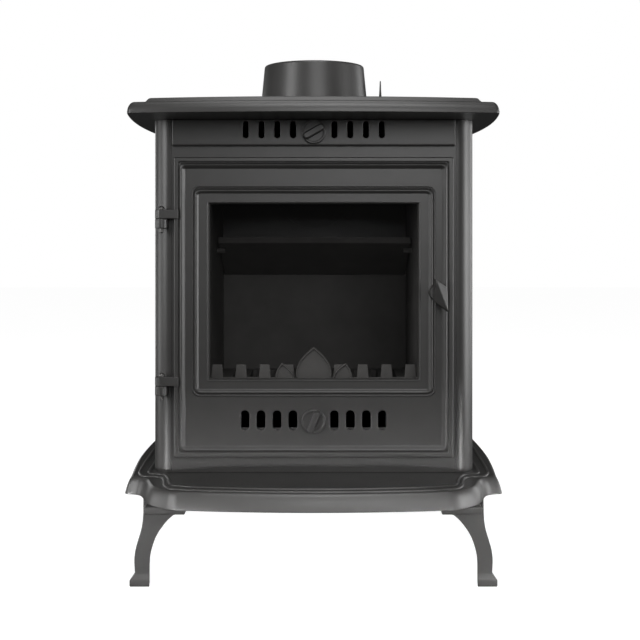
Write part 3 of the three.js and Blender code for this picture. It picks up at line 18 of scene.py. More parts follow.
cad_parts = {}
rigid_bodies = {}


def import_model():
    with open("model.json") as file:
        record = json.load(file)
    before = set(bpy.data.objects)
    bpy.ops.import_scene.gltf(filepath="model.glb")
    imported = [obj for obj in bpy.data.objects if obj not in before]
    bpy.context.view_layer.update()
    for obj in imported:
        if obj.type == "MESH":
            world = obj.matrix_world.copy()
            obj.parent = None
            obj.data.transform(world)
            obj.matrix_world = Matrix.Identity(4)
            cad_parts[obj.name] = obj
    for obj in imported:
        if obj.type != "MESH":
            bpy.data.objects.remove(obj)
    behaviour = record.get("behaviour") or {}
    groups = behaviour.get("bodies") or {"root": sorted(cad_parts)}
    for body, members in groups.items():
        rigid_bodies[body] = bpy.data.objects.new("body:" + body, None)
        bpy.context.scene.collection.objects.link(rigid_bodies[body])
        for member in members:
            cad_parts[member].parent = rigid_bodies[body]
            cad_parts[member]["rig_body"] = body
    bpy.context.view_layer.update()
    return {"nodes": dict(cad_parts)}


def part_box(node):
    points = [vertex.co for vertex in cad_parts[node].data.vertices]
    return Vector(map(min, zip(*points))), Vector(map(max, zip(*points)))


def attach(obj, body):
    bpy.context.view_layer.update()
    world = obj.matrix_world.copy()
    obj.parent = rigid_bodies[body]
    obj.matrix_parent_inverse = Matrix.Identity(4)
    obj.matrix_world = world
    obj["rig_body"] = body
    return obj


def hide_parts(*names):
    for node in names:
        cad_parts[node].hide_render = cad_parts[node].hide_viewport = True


for leftover in list(bpy.data.objects):
    bpy.data.objects.remove(leftover)
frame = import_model()

LOG = logging.getLogger("stove")
MM = 0.001
PLAY = 0.3 * MM  # between pieces that slide, turn or sit in each other
PAST = 2 * MM  # how far a cutter runs past the face that it opens
KNOB_BORE = 3.8 * MM
BOW_STEPS = 24
HINGE_PINS = ("hinge_pin_lower", "hinge_pin_upper")
NODES = frame["nodes"]
Point = tuple[float, float]
Ring = list[Vector]
Piece = bpy.types.Object


class Slot(Enum):
    """The record's material slots."""

    STOVE_IRON = "stove_iron"
    FIREBOX_IRON = "firebox_iron"
    STEEL_HARDWARE = "steel_hardware"
    SHEET_STEEL = "sheet_steel"
    DOOR_GLASS = "door_glass"
    SEAL_ROPE = "seal_rope"


class Cut(Enum):
    """How a second solid changes the first."""

    REMOVE = "DIFFERENCE"
    ADD = "UNION"


# ---------------------------------------------------------------- node trees


class Graph:
    """A node tree with a short way to add linked nodes."""

    def __init__(self, tree: bpy.types.NodeTree) -> None:
        """Holds a tree.

        Args:
            tree: The shader or geometry tree that gets the nodes.
        """
        self.tree = tree

    def add(self, kind: str, inputs: dict[str | int, Any] | None = None, **settings: Any) -> bpy.types.Node:
        """Adds one node.

        Args:
            kind: The node's type.
            inputs: Values or output sockets for its inputs, by name or place.
            **settings: The node's own properties.

        Returns:
            The new node.
        """
        node = self.tree.nodes.new(kind)
        for key, value in settings.items():
            setattr(node, key, value)
        for key, value in (inputs or {}).items():
            if isinstance(value, bpy.types.NodeSocket):
                self.tree.links.new(value, node.inputs[key])
            else:
                node.inputs[key].default_value = value
        return node

    def ramp(self, factor: bpy.types.NodeSocket,
             stops: Sequence[tuple[float, tuple]]) -> bpy.types.NodeSocket:
        """Adds a colour ramp.

        Args:
            factor: The socket that drives it.
            stops: Positions and RGB colours.

        Returns:
            The ramp's colour socket.
        """
        node = self.add("ShaderNodeValToRGB", {"Fac": factor})
        elements = node.color_ramp.elements
        while len(elements) < len(stops):
            elements.new(1.0)
        for element, (place, colour) in zip(elements, stops):
            element.position = place
            element.color = (*colour, 1.0)
        return node.outputs["Color"]

    def noise(self, place: bpy.types.NodeSocket, scale: float, **more: float) -> bpy.types.NodeSocket:
        """Noise at a place, with its other inputs by name."""
        return self.add("ShaderNodeTexNoise", {"Vector": place, "Scale": scale, **more}).outputs["Fac"]

    def around(self, factor: bpy.types.NodeSocket, middle: float, spread: float) -> bpy.types.NodeSocket:
        """A value that drifts to both sides of a middle as a noise does."""
        return self.add("ShaderNodeMapRange", {
            "Value": factor, "From Min": 0.3, "From Max": 0.7,
            "To Min": middle - spread, "To Max": middle + spread,
        }).outputs["Result"]

    def bump(self, height: bpy.types.NodeSocket, distance: float, **more: Any) -> bpy.types.NodeSocket:
        """A normal bent by a height, with its other inputs by name."""
        return self.add("ShaderNodeBump", {
            "Height": height, "Distance": distance, "Strength": 1.0, **more,
        }).outputs["Normal"]

    def times(self, value: bpy.types.NodeSocket, factor: Any) -> bpy.types.NodeSocket:
        """One value multiplied by another."""
        return self.add("ShaderNodeMath", {0: value, 1: factor}, operation="MULTIPLY").outputs[0]

    def surface(self, inputs: dict[str, Any]) -> None:
        """Ends a material in one principled surface with the given inputs."""
        shader = self.add("ShaderNodeBsdfPrincipled", inputs)
        self.add("ShaderNodeOutputMaterial", {"Surface": shader.outputs["BSDF"]})


def blank_material(name: str) -> tuple[bpy.types.Material, Graph]:
    """A new material and its empty node tree."""
    made = bpy.data.materials.new(name)
    made.use_nodes = True
    made.node_tree.nodes.clear()
    return made, Graph(made.node_tree)


def grey(value: float, warmth: float = 0.0) -> tuple[float, float, float]:
    """A grey, slightly warm where asked, as linear RGB."""
    return (value * (1 + warmth), value, value * (1 - warmth))


# ---------------------------------------------------------------- finishes


@dataclass(frozen=True)
class CoatedMetal:
    """A painted, cast or blackened metal.

    Args:
        slot: The record's slot that it finishes.
        tone: Linear grey of the coat.
        spread: How far the tone drifts, as a share.
        warmth: How far the grey leans to brown.
        metallic: Metalness of the surface.
        roughness: Mean roughness.
        rough_spread: How far the roughness drifts.
        grain: Size of the sand-cast or brushed grain.
        grain_depth: Height of the grain.
        drift: Size of the slow waves of the casting.
        drift_depth: Height of those waves.
        brushed: Whether the grain runs in strokes.
        specular: Strength of the surface reflection.
    """

    slot: Slot
    tone: float
    spread: float
    warmth: float
    metallic: float
    roughness: float
    rough_spread: float
    grain: float
    grain_depth: float
    drift: float
    drift_depth: float
    brushed: bool = False
    specular: float = 0.5

    def material(self) -> bpy.types.Material:
        """Builds the finish.

        Returns:
            A new material named after its slot.
        """
        made, graph = blank_material(self.slot.value)
        place = graph.add("ShaderNodeTexCoord").outputs["Object"]
        stretch = (1.0, 1.0, 12.0) if self.brushed else (1.0, 1.0, 1.0)
        grain_place = graph.add("ShaderNodeMapping", {"Vector": place, "Scale": stretch}).outputs["Vector"]
        fine = graph.noise(grain_place, 1 / self.grain, Detail=3.0, Roughness=0.6)
        slow = graph.noise(place, 1 / self.drift, Detail=2.0, Roughness=0.5)
        cloud = graph.noise(place, 0.35 / self.drift, Detail=5.0, Roughness=0.62)
        colour = graph.ramp(cloud, [
            (0.3, grey(self.tone * (1 - self.spread), self.warmth)),
            (0.7, grey(self.tone * (1 + self.spread), self.warmth)),
        ])
        roughness = graph.around(fine, self.roughness, self.rough_spread)
        waves = graph.bump(slow, self.drift_depth)
        pores = graph.bump(fine, self.grain_depth, Normal=waves)
        graph.surface({
            "Base Color": colour, "Roughness": roughness, "Normal": pores,
            "Metallic": self.metallic, "Specular IOR Level": self.specular,
        })
        return made


@dataclass(frozen=True)
class FireGlass:
    """The door's ceramic glass, with a thin film of smoke.

    Args:
        slot: The record's slot that it finishes.
        tint: Linear grey of the film.
        cover: How much of the view behind it the film hides.
        cover_spread: How far that drifts over the pane.
        roughness: Roughness of the polished faces.
    """

    slot: Slot
    tint: float
    cover: float
    cover_spread: float
    roughness: float

    def material(self) -> bpy.types.Material:
        """Builds the glass.

        Returns:
            A new material named after its slot.
        """
        made, graph = blank_material(self.slot.value)
        place = graph.add("ShaderNodeTexCoord").outputs["Object"]
        smoke = graph.noise(place, 14.0, Detail=4.0)
        cover = graph.around(smoke, self.cover, self.cover_spread)
        colour = graph.ramp(smoke, [(0.3, grey(self.tint * 0.8)), (0.7, grey(self.tint * 1.2, 0.03))])
        graph.surface({"Base Color": colour, "Alpha": cover, "Roughness": self.roughness, "IOR": 1.5})
        return made


@dataclass(frozen=True)
class GlassFibreRope:
    """Woven glass fibre, for the door's rope and the pane's gasket.

    Args:
        slot: The record's slot that it finishes.
        tone: Linear grey of the yarn.
        yarn: Width of one yarn.
        depth: How deep the yarns stand.
    """

    slot: Slot
    tone: float
    yarn: float
    depth: float

    def material(self) -> bpy.types.Material:
        """Builds the weave.

        Returns:
            A new material named after its slot.
        """
        made, graph = blank_material(self.slot.value)
        place = graph.add("ShaderNodeTexCoord").outputs["Object"]
        one = graph.add("ShaderNodeTexWave", {
            "Vector": place, "Scale": 0.32 / self.yarn, "Distortion": 1.5, "Detail": 1.0,
        }, bands_direction="DIAGONAL").outputs["Fac"]
        fluff = graph.noise(place, 2 / self.yarn, Detail=4.0)
        soot = graph.noise(place, 18.0, Detail=3.0)
        height = graph.add("ShaderNodeMath", {0: one, 1: fluff}, operation="ADD").outputs["Value"]
        normal = graph.bump(height, self.depth)
        colour = graph.ramp(soot, [(0.35, grey(self.tone * 0.55, 0.05)), (0.6, grey(self.tone, 0.03))])
        graph.surface({"Base Color": colour, "Normal": normal, "Roughness": 0.95, "Sheen Weight": 0.2})
        return made


STOVE_PAINT = CoatedMetal(
    Slot.STOVE_IRON, tone=0.034, spread=0.1, warmth=0.03, metallic=0.0, roughness=0.38, rough_spread=0.04,
    grain=0.9 * MM, grain_depth=0.012 * MM, drift=14 * MM, drift_depth=0.1 * MM, specular=0.7,
)
SOOTY_IRON = CoatedMetal(
    Slot.FIREBOX_IRON, tone=0.11, spread=0.12, warmth=0.03, metallic=0.0, roughness=0.72, rough_spread=0.1,
    grain=1.4 * MM, grain_depth=0.08 * MM, drift=18 * MM, drift_depth=0.3 * MM, specular=0.4,
)
BLACKENED_STEEL = CoatedMetal(
    Slot.STEEL_HARDWARE, tone=0.13, spread=0.2, warmth=0.02, metallic=0.85, roughness=0.38, rough_spread=0.08,
    grain=0.5 * MM, grain_depth=0.008 * MM, drift=6 * MM, drift_depth=0.03 * MM, brushed=True,
)
SHEET_STEEL = CoatedMetal(
    Slot.SHEET_STEEL, tone=0.04, spread=0.25, warmth=0.02, metallic=0.1, roughness=0.5, rough_spread=0.08,
    grain=0.6 * MM, grain_depth=0.01 * MM, drift=25 * MM, drift_depth=0.15 * MM, brushed=True,
)
FIRE_GLASS = FireGlass(Slot.DOOR_GLASS, tint=0.012, cover=0.12, cover_spread=0.02, roughness=0.04)
SEAL_ROPE = GlassFibreRope(Slot.SEAL_ROPE, tone=0.3, yarn=1.1 * MM, depth=0.35 * MM)
MATERIALS = {
    finish.slot: finish.material()
    for finish in (STOVE_PAINT, SOOTY_IRON, BLACKENED_STEEL, SHEET_STEEL, FIRE_GLASS, SEAL_ROPE)
}


# ---------------------------------------------------------------- outlines


def filleted(corners: Sequence[tuple[float, float, float]], steps: int = 5) -> list[Point]:
    """Rounds the inner corners of an open line.

    Args:
        corners: Each corner's two coordinates and its fillet's reach along both edges.
        steps: Segments of each fillet.

    Returns:
        The line's points.
    """
    points = [corners[0][:2]]
    for before, (u, v, reach), after in zip(corners, corners[1:-1], corners[2:]):
        if reach <= 0:
            points.append((u, v))
            continue
        corner = Vector((u, v))
        back = Vector(before[:2]) - corner
        on = Vector(after[:2]) - corner
        start = corner + back.normalized() * min(reach, back.length * 0.49)
        end = corner + on.normalized() * min(reach, on.length * 0.49)
        for i in range(steps + 1):
            t = i / steps
            spot = start * (1 - t) ** 2 + corner * 2 * t * (1 - t) + end * t ** 2
            points.append((spot.x, spot.y))
    points.append(corners[-1][:2])
    return points


def arc(centre: Point, radius: float, start: float, end: float, steps: int) -> list[Point]:
    """Points along an arc, both ends included.

    Args:
        centre: The arc's centre.
        radius: Its radius.
        start: First angle in degrees.
        end: Last angle in degrees.
        steps: Segments.

    Returns:
        The arc's points.
    """
    angles = (math.radians(start + (end - start) * i / steps) for i in range(steps + 1))
    return [(centre[0] + radius * math.cos(a), centre[1] + radius * math.sin(a)) for a in angles]


def circle(centre: Point, radius: float, sides: int = 36) -> list[Point]:
    """Points round a circle, without the first one again at the end."""
    return arc(centre, radius, 0, 360 - 360 / sides, sides - 1)


def bowed(half: float, front: float, rise: float) -> list[Point]:
    """The right half of a shallow bow, without its end."""
    return [(half * t, front + rise * t * t) for t in (i / BOW_STEPS for i in range(BOW_STEPS))]


def bezier(points: Sequence[Point], steps: int) -> list[Point]:
    """Points along a quadratic or cubic curve.

    Args:
        points: Three or four control points.
        steps: Segments.

    Returns:
        The curve's points, both ends included.
    """
    line = []
    for i in range(steps + 1):
        t = i / steps
        level = [Vector(point) for point in points]
        while len(level) > 1:
            level = [a.lerp(b, t) for a, b in zip(level, level[1:])]
        line.append((level[0].x, level[0].y))
    return line


def through(points: Sequence[Point], steps: int = 8, mirrored: bool = False) -> list[Point]:
    """A smooth line through points.

    Args:
        points: What it passes through.
        steps: Segments between two points.
        mirrored: Whether it goes on as its mirror image before the first point.

    Returns:
        Its points, both ends included.
    """
    spots = [Vector(point) for point in points]
    first = Vector((-spots[1].x, spots[1].y)) if mirrored else spots[0]
    line = []
    for p0, p1, p2, p3 in zip([first, *spots], spots, spots[1:], [*spots[2:], spots[-1]]):
        for k in range(steps):
            t = k / steps
            spot = 0.5 * (2 * p1 + (p2 - p0) * t + (2 * p0 - 5 * p1 + 4 * p2 - p3) * t * t
                          + (3 * p1 - p0 - 3 * p2 + p3) * t ** 3)
            line.append((spot.x, spot.y))
    return line + [tuple(spots[-1])]


def both_halves(half: list[Point]) -> list[Point]:
    """An outline's right half, from front centre to rear centre, made whole."""
    return half + [(-x, y) for x, y in reversed(half[1:-1])]


def rounded_box(half: float, low: float, high: float, radius: float, steps: int = 8) -> list[Point]:
    """A rectangle with round corners, centred across.

    Args:
        half: Half its width.
        low: Its lower edge.
        high: Its upper edge.
        radius: Corner radius.
        steps: Segments of each corner.

    Returns:
        Its points, counterclockwise.
    """
    round_ = max(radius, 0.05 * MM)
    corners = ((half - round_, low + round_, -90), (half - round_, high - round_, 0),
               (round_ - half, high - round_, 90), (round_ - half, low + round_, 180))
    return [point for x, z, start in corners for point in arc((x, z), round_, start, start + 90, steps)]


def moved_in(outline: list[Point], distance: float) -> list[Point]:
    """A closed counterclockwise outline, each point moved in along its mean normal."""
    count = len(outline)
    moved = []
    for i, point in enumerate(outline):
        here = Vector(point)
        before = (here - Vector(outline[i - 1])).normalized()
        after = (Vector(outline[(i + 1) % count]) - here).normalized()
        mean = (before + after).normalized()
        stretch = min(1 / max(mean.dot(before), 0.5), 1.6)
        moved.append((point[0] - mean.y * distance * stretch, point[1] + mean.x * distance * stretch))
    return moved


def at_z(outline: Iterable[Point], z: float) -> Ring:
    """An outline in X and Y as a ring at one height."""
    return [Vector((x, y, z)) for x, y in outline]


def at_y(outline: Iterable[Point], y: float) -> Ring:
    """An outline in X and Z as a ring at one depth."""
    return [Vector((x, y, z)) for x, z in outline]


def at_x(outline: Iterable[Point], x: float) -> Ring:
    """An outline in Y and Z as a ring at one width."""
    return [Vector((x, y, z)) for y, z in outline]


# ---------------------------------------------------------------- meshes


def placed(name: str, data: bpy.types.ID) -> Piece:
    """A new object in the scene, at the origin."""
    made = bpy.data.objects.new(name, data)
    bpy.context.scene.collection.objects.link(made)
    return made


def from_bmesh(name: str, shape: bmesh.types.BMesh) -> Piece:
    """Turns a bmesh into an object with its faces outward.

    Args:
        name: The object's name.
        shape: The mesh, which is freed.

    Returns:
        The new object, at the origin.
    """
    bmesh.ops.remove_doubles(shape, verts=shape.verts, dist=1e-6)
    bmesh.ops.recalc_face_normals(shape, faces=shape.faces)
    mesh = bpy.data.meshes.new(name)
    shape.to_mesh(mesh)
    shape.free()
    return placed(name, mesh)


def lofted(name: str, rings: Sequence[Ring], hoop: bool = False) -> Piece:
    """A closed skin through rings of equally many points.

    Args:
        name: The object's name.
        rings: The rings, in order.
        hoop: Whether the last ring joins the first, and else both ends are capped.

    Returns:
        The new object.
    """
    shape = bmesh.new()
    made = [[shape.verts.new(point) for point in ring] for ring in rings]
    bands = list(zip(made, made[1:])) + ([(made[-1], made[0])] if hoop else [])
    for low, high in bands:
        for i in range(len(low)):
            j = (i + 1) % len(low)
            shape.faces.new((low[i], low[j], high[j], high[i]))
    if not hoop:
        shape.faces.new(made[0])
        shape.faces.new(made[-1])
    return from_bmesh(name, shape)


def revolved(name: str, profile: Sequence[Point], centre: Vector, turn: Matrix, sides: int = 64,
             hoop: bool = False) -> Piece:
    """A profile turned round an axis.

    Args:
        name: The object's name.
        profile: Radius and height of each point along the axis.
        centre: Where the axis starts.
        turn: The turn that brings +Z to the axis.
        sides: Segments round the axis.
        hoop: Whether the profile closes on itself away from the axis.

    Returns:
        The new object.
    """
    rings = []
    for radius, height in profile:
        spots = arc((0, 0), max(radius, 0), 0, 360 * (1 - 1 / sides), sides - 1)
        rings.append([centre + turn @ Vector((x, y, height)) for x, y in spots])
    return lofted(name, rings, hoop)


UPRIGHT = Matrix.Identity(3)
TO_FRONT = Matrix.Rotation(math.radians(90), 3, "X")
TO_BACK = Matrix.Rotation(math.radians(-90), 3, "X")


def box(name: str, low: Sequence[float], high: Sequence[float]) -> Piece:
    """A plain box between two corners, for cuts and for pieces that get rounded later."""
    outline = [(low[0], low[1]), (high[0], low[1]), (high[0], high[1]), (low[0], high[1])]
    return lofted(name, [at_z(outline, low[2]), at_z(outline, high[2])])


def settle(piece: Piece) -> None:
    """Makes an object's modifiers part of its mesh.

    Args:
        piece: The object.
    """
    bpy.context.view_layer.update()
    seen = piece.evaluated_get(bpy.context.evaluated_depsgraph_get())
    mesh = bpy.data.meshes.new_from_object(seen)
    piece.modifiers.clear()
    piece.data = mesh


def combine(body: Piece, tools: Iterable[Piece], how: Cut = Cut.REMOVE) -> Piece:
    """Cuts solids from a body or adds them to it.

    Args:
        body: The body, which is changed.
        tools: The solids, which are used up.
        how: Whether they are removed or added.

    Returns:
        The body.
    """
    for tool in tools:
        change = body.modifiers.new("change", "BOOLEAN")
        change.object = tool
        change.operation = how.value
        change.solver = "MANIFOLD"
        settle(body)
        bpy.data.objects.remove(tool)
    return body


def rounded_edges(piece: Piece, width: float, segments: int = 3, angle: float = 35.0) -> Piece:
    """Rounds a piece's sharp edges.

    Args:
        piece: The object.
        width: Width of the rounding.
        segments: Its segments.
        angle: Edges sharper than this many degrees are rounded.

    Returns:
        The piece.
    """
    shape = bmesh.new()
    shape.from_mesh(piece.data)
    bmesh.ops.remove_doubles(shape, verts=shape.verts, dist=2e-6)
    bmesh.ops.dissolve_limit(shape, angle_limit=math.radians(1), verts=shape.verts, edges=shape.edges)
    shape.to_mesh(piece.data)
    shape.free()
    bevel = piece.modifiers.new("rounding", "BEVEL")
    bevel.width = width
    bevel.segments = segments
    bevel.limit_method = "ANGLE"
    bevel.angle_limit = math.radians(angle)
    bevel.miter_outer = "MITER_ARC"
    settle(piece)
    return piece


def shaded(piece: Piece, angle: float = 32.0) -> Piece:
    """Gives a piece smooth faces that keep its sharp edges.

    Args:
        piece: The object.
        angle: Edges sharper than this many degrees stay sharp.

    Returns:
        The piece.
    """
    piece.data.shade_smooth()
    piece.data.set_sharp_from_angle(angle=math.radians(angle))
    weighted = piece.modifiers.new("flats", "WEIGHTED_NORMAL")
    weighted.keep_sharp = True
    settle(piece)
    return piece


def dressed(piece: Piece, slot: Slot, body: str, *replaced: str) -> Piece:
    """Finishes a piece: shading, material, body, slot and the solids that it stands for.

    Args:
        piece: The object.
        slot: The material slot.
        body: The body that it moves with.
        *replaced: The solids that it stands for.

    Returns:
        The piece.
    """
    shaded(piece)
    piece.data.materials.clear()
    piece.data.materials.append(MATERIALS[slot])
    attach(piece, body)
    if replaced:
        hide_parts(*replaced)
    LOG.info("%s: %d faces on %s", piece.name, len(piece.data.polygons), body)
    return piece


def body_of(node: str) -> str:
    """The body that a solid moves with."""
    return NODES[node]["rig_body"]


def centre_of(node: str) -> tuple[float, ...]:
    """The middle of a solid's box."""
    return tuple((low + high) / 2 for low, high in zip(*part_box(node)))


def softened(node: str, slot: Slot, width: float, segments: int = 2) -> Piece:
    """A copy of a solid with its cast or cut edges rounded, which stands for it.

    Args:
        node: The solid.
        slot: The material slot.
        width: Width of the rounding.
        segments: Its segments.

    Returns:
        The new piece.
    """
    shape = bmesh.new()
    shape.from_mesh(NODES[node].data)
    piece = from_bmesh(f"{node}_cast", shape)
    rounded_edges(piece, width, segments)
    return dressed(piece, slot, body_of(node), node)


# ---------------------------------------------------------------- geometry trees


class Pattern:
    """A geometry tree with named inputs, which ends in realised instances with a material."""

    def __init__(self, name: str, inputs: dict[str, str]) -> None:
        """Starts the tree.

        Args:
            name: The tree's name.
            inputs: Socket type of each input besides the geometry and the material.
        """
        self.tree = bpy.data.node_groups.new(name, "GeometryNodeTree")
        face = self.tree.interface
        face.new_socket("Geometry", in_out="INPUT", socket_type="NodeSocketGeometry")
        for label, kind in inputs.items():
            face.new_socket(label, in_out="INPUT", socket_type=kind)
        face.new_socket("Material", in_out="INPUT", socket_type="NodeSocketMaterial")
        face.new_socket("Geometry", in_out="OUTPUT", socket_type="NodeSocketGeometry")
        self.graph = Graph(self.tree)
        self.given = self.graph.add("NodeGroupInput").outputs

    def close(self, result: bpy.types.NodeSocket) -> None:
        """Ends the tree in Realize Instances and Set Material.

        Args:
            result: The geometry to hand out.
        """
        real = self.graph.add("GeometryNodeRealizeInstances", {"Geometry": result})
        coat = self.graph.add("GeometryNodeSetMaterial", {
            "Geometry": real.outputs["Geometry"], "Material": self.given["Material"],
        })
        self.graph.add("NodeGroupOutput", {"Geometry": coat.outputs["Geometry"]})

    def run(self, piece: Piece, slot: Slot, **values: Any) -> Piece:
        """Applies the tree to an object's mesh.

        Args:
            piece: The object whose mesh goes in.
            slot: The material slot.
            **values: The inputs, by name, with spaces as underscores.

        Returns:
            The object, with the result as its plain mesh.
        """
        values["Material"] = MATERIALS[slot]
        modifier = piece.modifiers.new(self.tree.name, "NODES")
        modifier.node_group = self.tree
        for item in self.tree.interface.items_tree:
            key = item.name.replace(" ", "_")
            if item.in_out == "INPUT" and key in values:
                modifier[item.identifier] = values[key]
        settle(piece)
        return piece


def slot_row_pattern() -> Pattern:
    """Copies of one upright solid, evenly spaced on both sides of the middle."""
    pattern = Pattern("slot_row", {
        "First": "NodeSocketFloat", "Pitch": "NodeSocketFloat", "Count": "NodeSocketInt",
    })
    graph, given = pattern.graph, pattern.given
    sides = []
    for sign in (1.0, -1.0):
        start, step = (
            graph.add("ShaderNodeCombineXYZ", {"X": graph.times(given[label], sign)}).outputs["Vector"]
            for label in ("First", "Pitch")
        )
        sides.append(graph.add("GeometryNodeMeshLine", {
            "Count": given["Count"], "Start Location": start, "Offset": step,
        }, mode="OFFSET").outputs["Mesh"])
    points = graph.add("GeometryNodeJoinGeometry", {"Geometry": sides[0]})
    graph.tree.links.new(sides[1], points.inputs["Geometry"])
    copies = graph.add("GeometryNodeInstanceOnPoints", {
        "Points": points.outputs["Geometry"], "Instance": given["Geometry"],
    })
    pattern.close(copies.outputs["Instances"])
    return pattern


def fastener_pattern() -> Pattern:
    """One head or bolt on each point of the mesh, turned the same way."""
    pattern = Pattern("fasteners", {"Head": "NodeSocketObject", "Turn": "NodeSocketVector"})
    graph, given = pattern.graph, pattern.given
    head = graph.add("GeometryNodeObjectInfo", {"Object": given["Head"]}).outputs["Geometry"]
    copies = graph.add("GeometryNodeInstanceOnPoints", {
        "Points": given["Geometry"], "Instance": head, "Rotation": given["Turn"],
    })
    pattern.close(copies.outputs["Instances"])
    return pattern


def sweep_pattern() -> Pattern:
    """A section carried along each line of the mesh, twisted a number of whole turns."""
    pattern = Pattern("sweep", {
        "Section": "NodeSocketObject", "Turns": "NodeSocketFloat", "Step": "NodeSocketFloat",
    })
    graph, given = pattern.graph, pattern.given
    line = graph.add("GeometryNodeMeshToCurve", {"Mesh": given["Geometry"]}).outputs["Curve"]
    even = graph.add("GeometryNodeResampleCurve", {"Curve": line, "Length": given["Step"]}, mode="LENGTH")
    along = graph.add("GeometryNodeSplineParameter").outputs["Factor"]
    tilt = graph.times(along, graph.times(given["Turns"], 2 * math.pi))
    twisted = graph.add("GeometryNodeSetCurveTilt", {"Curve": even.outputs["Curve"], "Tilt": tilt})
    info = graph.add("GeometryNodeObjectInfo", {"Object": given["Section"]}).outputs["Geometry"]
    section = graph.add("GeometryNodeMeshToCurve", {"Mesh": info}).outputs["Curve"]
    skin = graph.add("GeometryNodeCurveToMesh", {
        "Curve": twisted.outputs["Curve"], "Profile Curve": section, "Fill Caps": True,
    })
    pattern.close(skin.outputs["Mesh"])
    return pattern


SLOT_ROW = slot_row_pattern()
FASTENERS = fastener_pattern()
SWEEP = sweep_pattern()


def wire(name: str, lines: Sequence[Sequence[Sequence[float]]], closed: bool = False) -> Piece:
    """A mesh of points, or of lines where a line has more than one.

    Args:
        name: The object's name.
        lines: The lines' points.
        closed: Whether each line closes on itself.

    Returns:
        The new object.
    """
    spots = [tuple(point) for line in lines for point in line]
    edges = []
    start = 0
    for line in lines:
        count = len(line)
        edges += [(start + i, start + i + 1) for i in range(count - 1)]
        if closed:
            edges.append((start + count - 1, start))
        start += count
    mesh = bpy.data.meshes.new(name)
    mesh.from_pydata(spots, edges, [])
    return placed(name, mesh)


def fastened(name: str, head: Piece, spots: Sequence[Sequence[float]], turn: Sequence[float]) -> Piece:
    """Sets one steel fastener on each spot.

    Args:
        name: The piece's name.
        head: The fastener at the origin, pointing up, which is used up.
        spots: Where each one sits.
        turn: Their turn, as Euler angles in radians.

    Returns:
        The fasteners as one object.
    """
    piece = wire(name, [[spot] for spot in spots])
    FASTENERS.run(piece, Slot.STEEL_HARDWARE, Head=head, Turn=turn)
    bpy.data.objects.remove(head)
    return piece


@dataclass(frozen=True)
class AirSlots:
    """A row of upright air slots on both sides of a knob, with round ends and soft front rims.

    Args:
        width: Width of a slot.
        height: Its height.
        z: Height of the slots' middle.
        first: From the knob to the nearest slot.
        pitch: Between slots.
        rim: Rounding of the slots' front edge.
        count: Slots on each side.
    """

    width: float
    height: float
    z: float
    first: float
    pitch: float
    rim: float
    count: int = 4

    def ring(self, grow: float, y: float) -> Ring:
        """One slot's outline, wider by a distance all round."""
        half, tall = self.width / 2, self.height / 2
        return at_y(rounded_box(half + grow, self.z - tall - grow, self.z + tall + grow, half + grow, 8), y)

    def cutter(self, face: float, rear: float) -> Piece:
        """The cutter for the whole row.

        Args:
            face: Depth of the face that the slots open.
            rear: Depth where the cutter ends.

        Returns:
            The cutter, centred across.
        """
        steps = 5
        rings = [self.ring(0, rear)]
        for i in range(steps + 1):
            angle = math.radians(90 * i / steps)
            rings.append(self.ring(self.rim * (1 - math.cos(angle)), face + self.rim * (1 - math.sin(angle))))
        rings.append([point + Vector((0, -PAST, 0)) for point in rings[-1]])
        return SLOT_ROW.run(lofted("slot_cutter", rings), Slot.STOVE_IRON,
                            First=self.first, Pitch=self.pitch, Count=self.count)


def spindle_hole(x: float, z: float, radius: float, front: float, rear: float) -> Piece:
    """A round cutter along Y.

    Args:
        x: Its centre across.
        z: Its centre's height.
        radius: Its radius.
        front: Where it starts.
        rear: Where it ends.

    Returns:
        The cutter.
    """
    outline = [(x + u, z + v) for u, v in circle((0, 0), radius)]
    return lofted("hole", [at_y(outline, front), at_y(outline, rear)])


# ---------------------------------------------------------------- top plate and flue


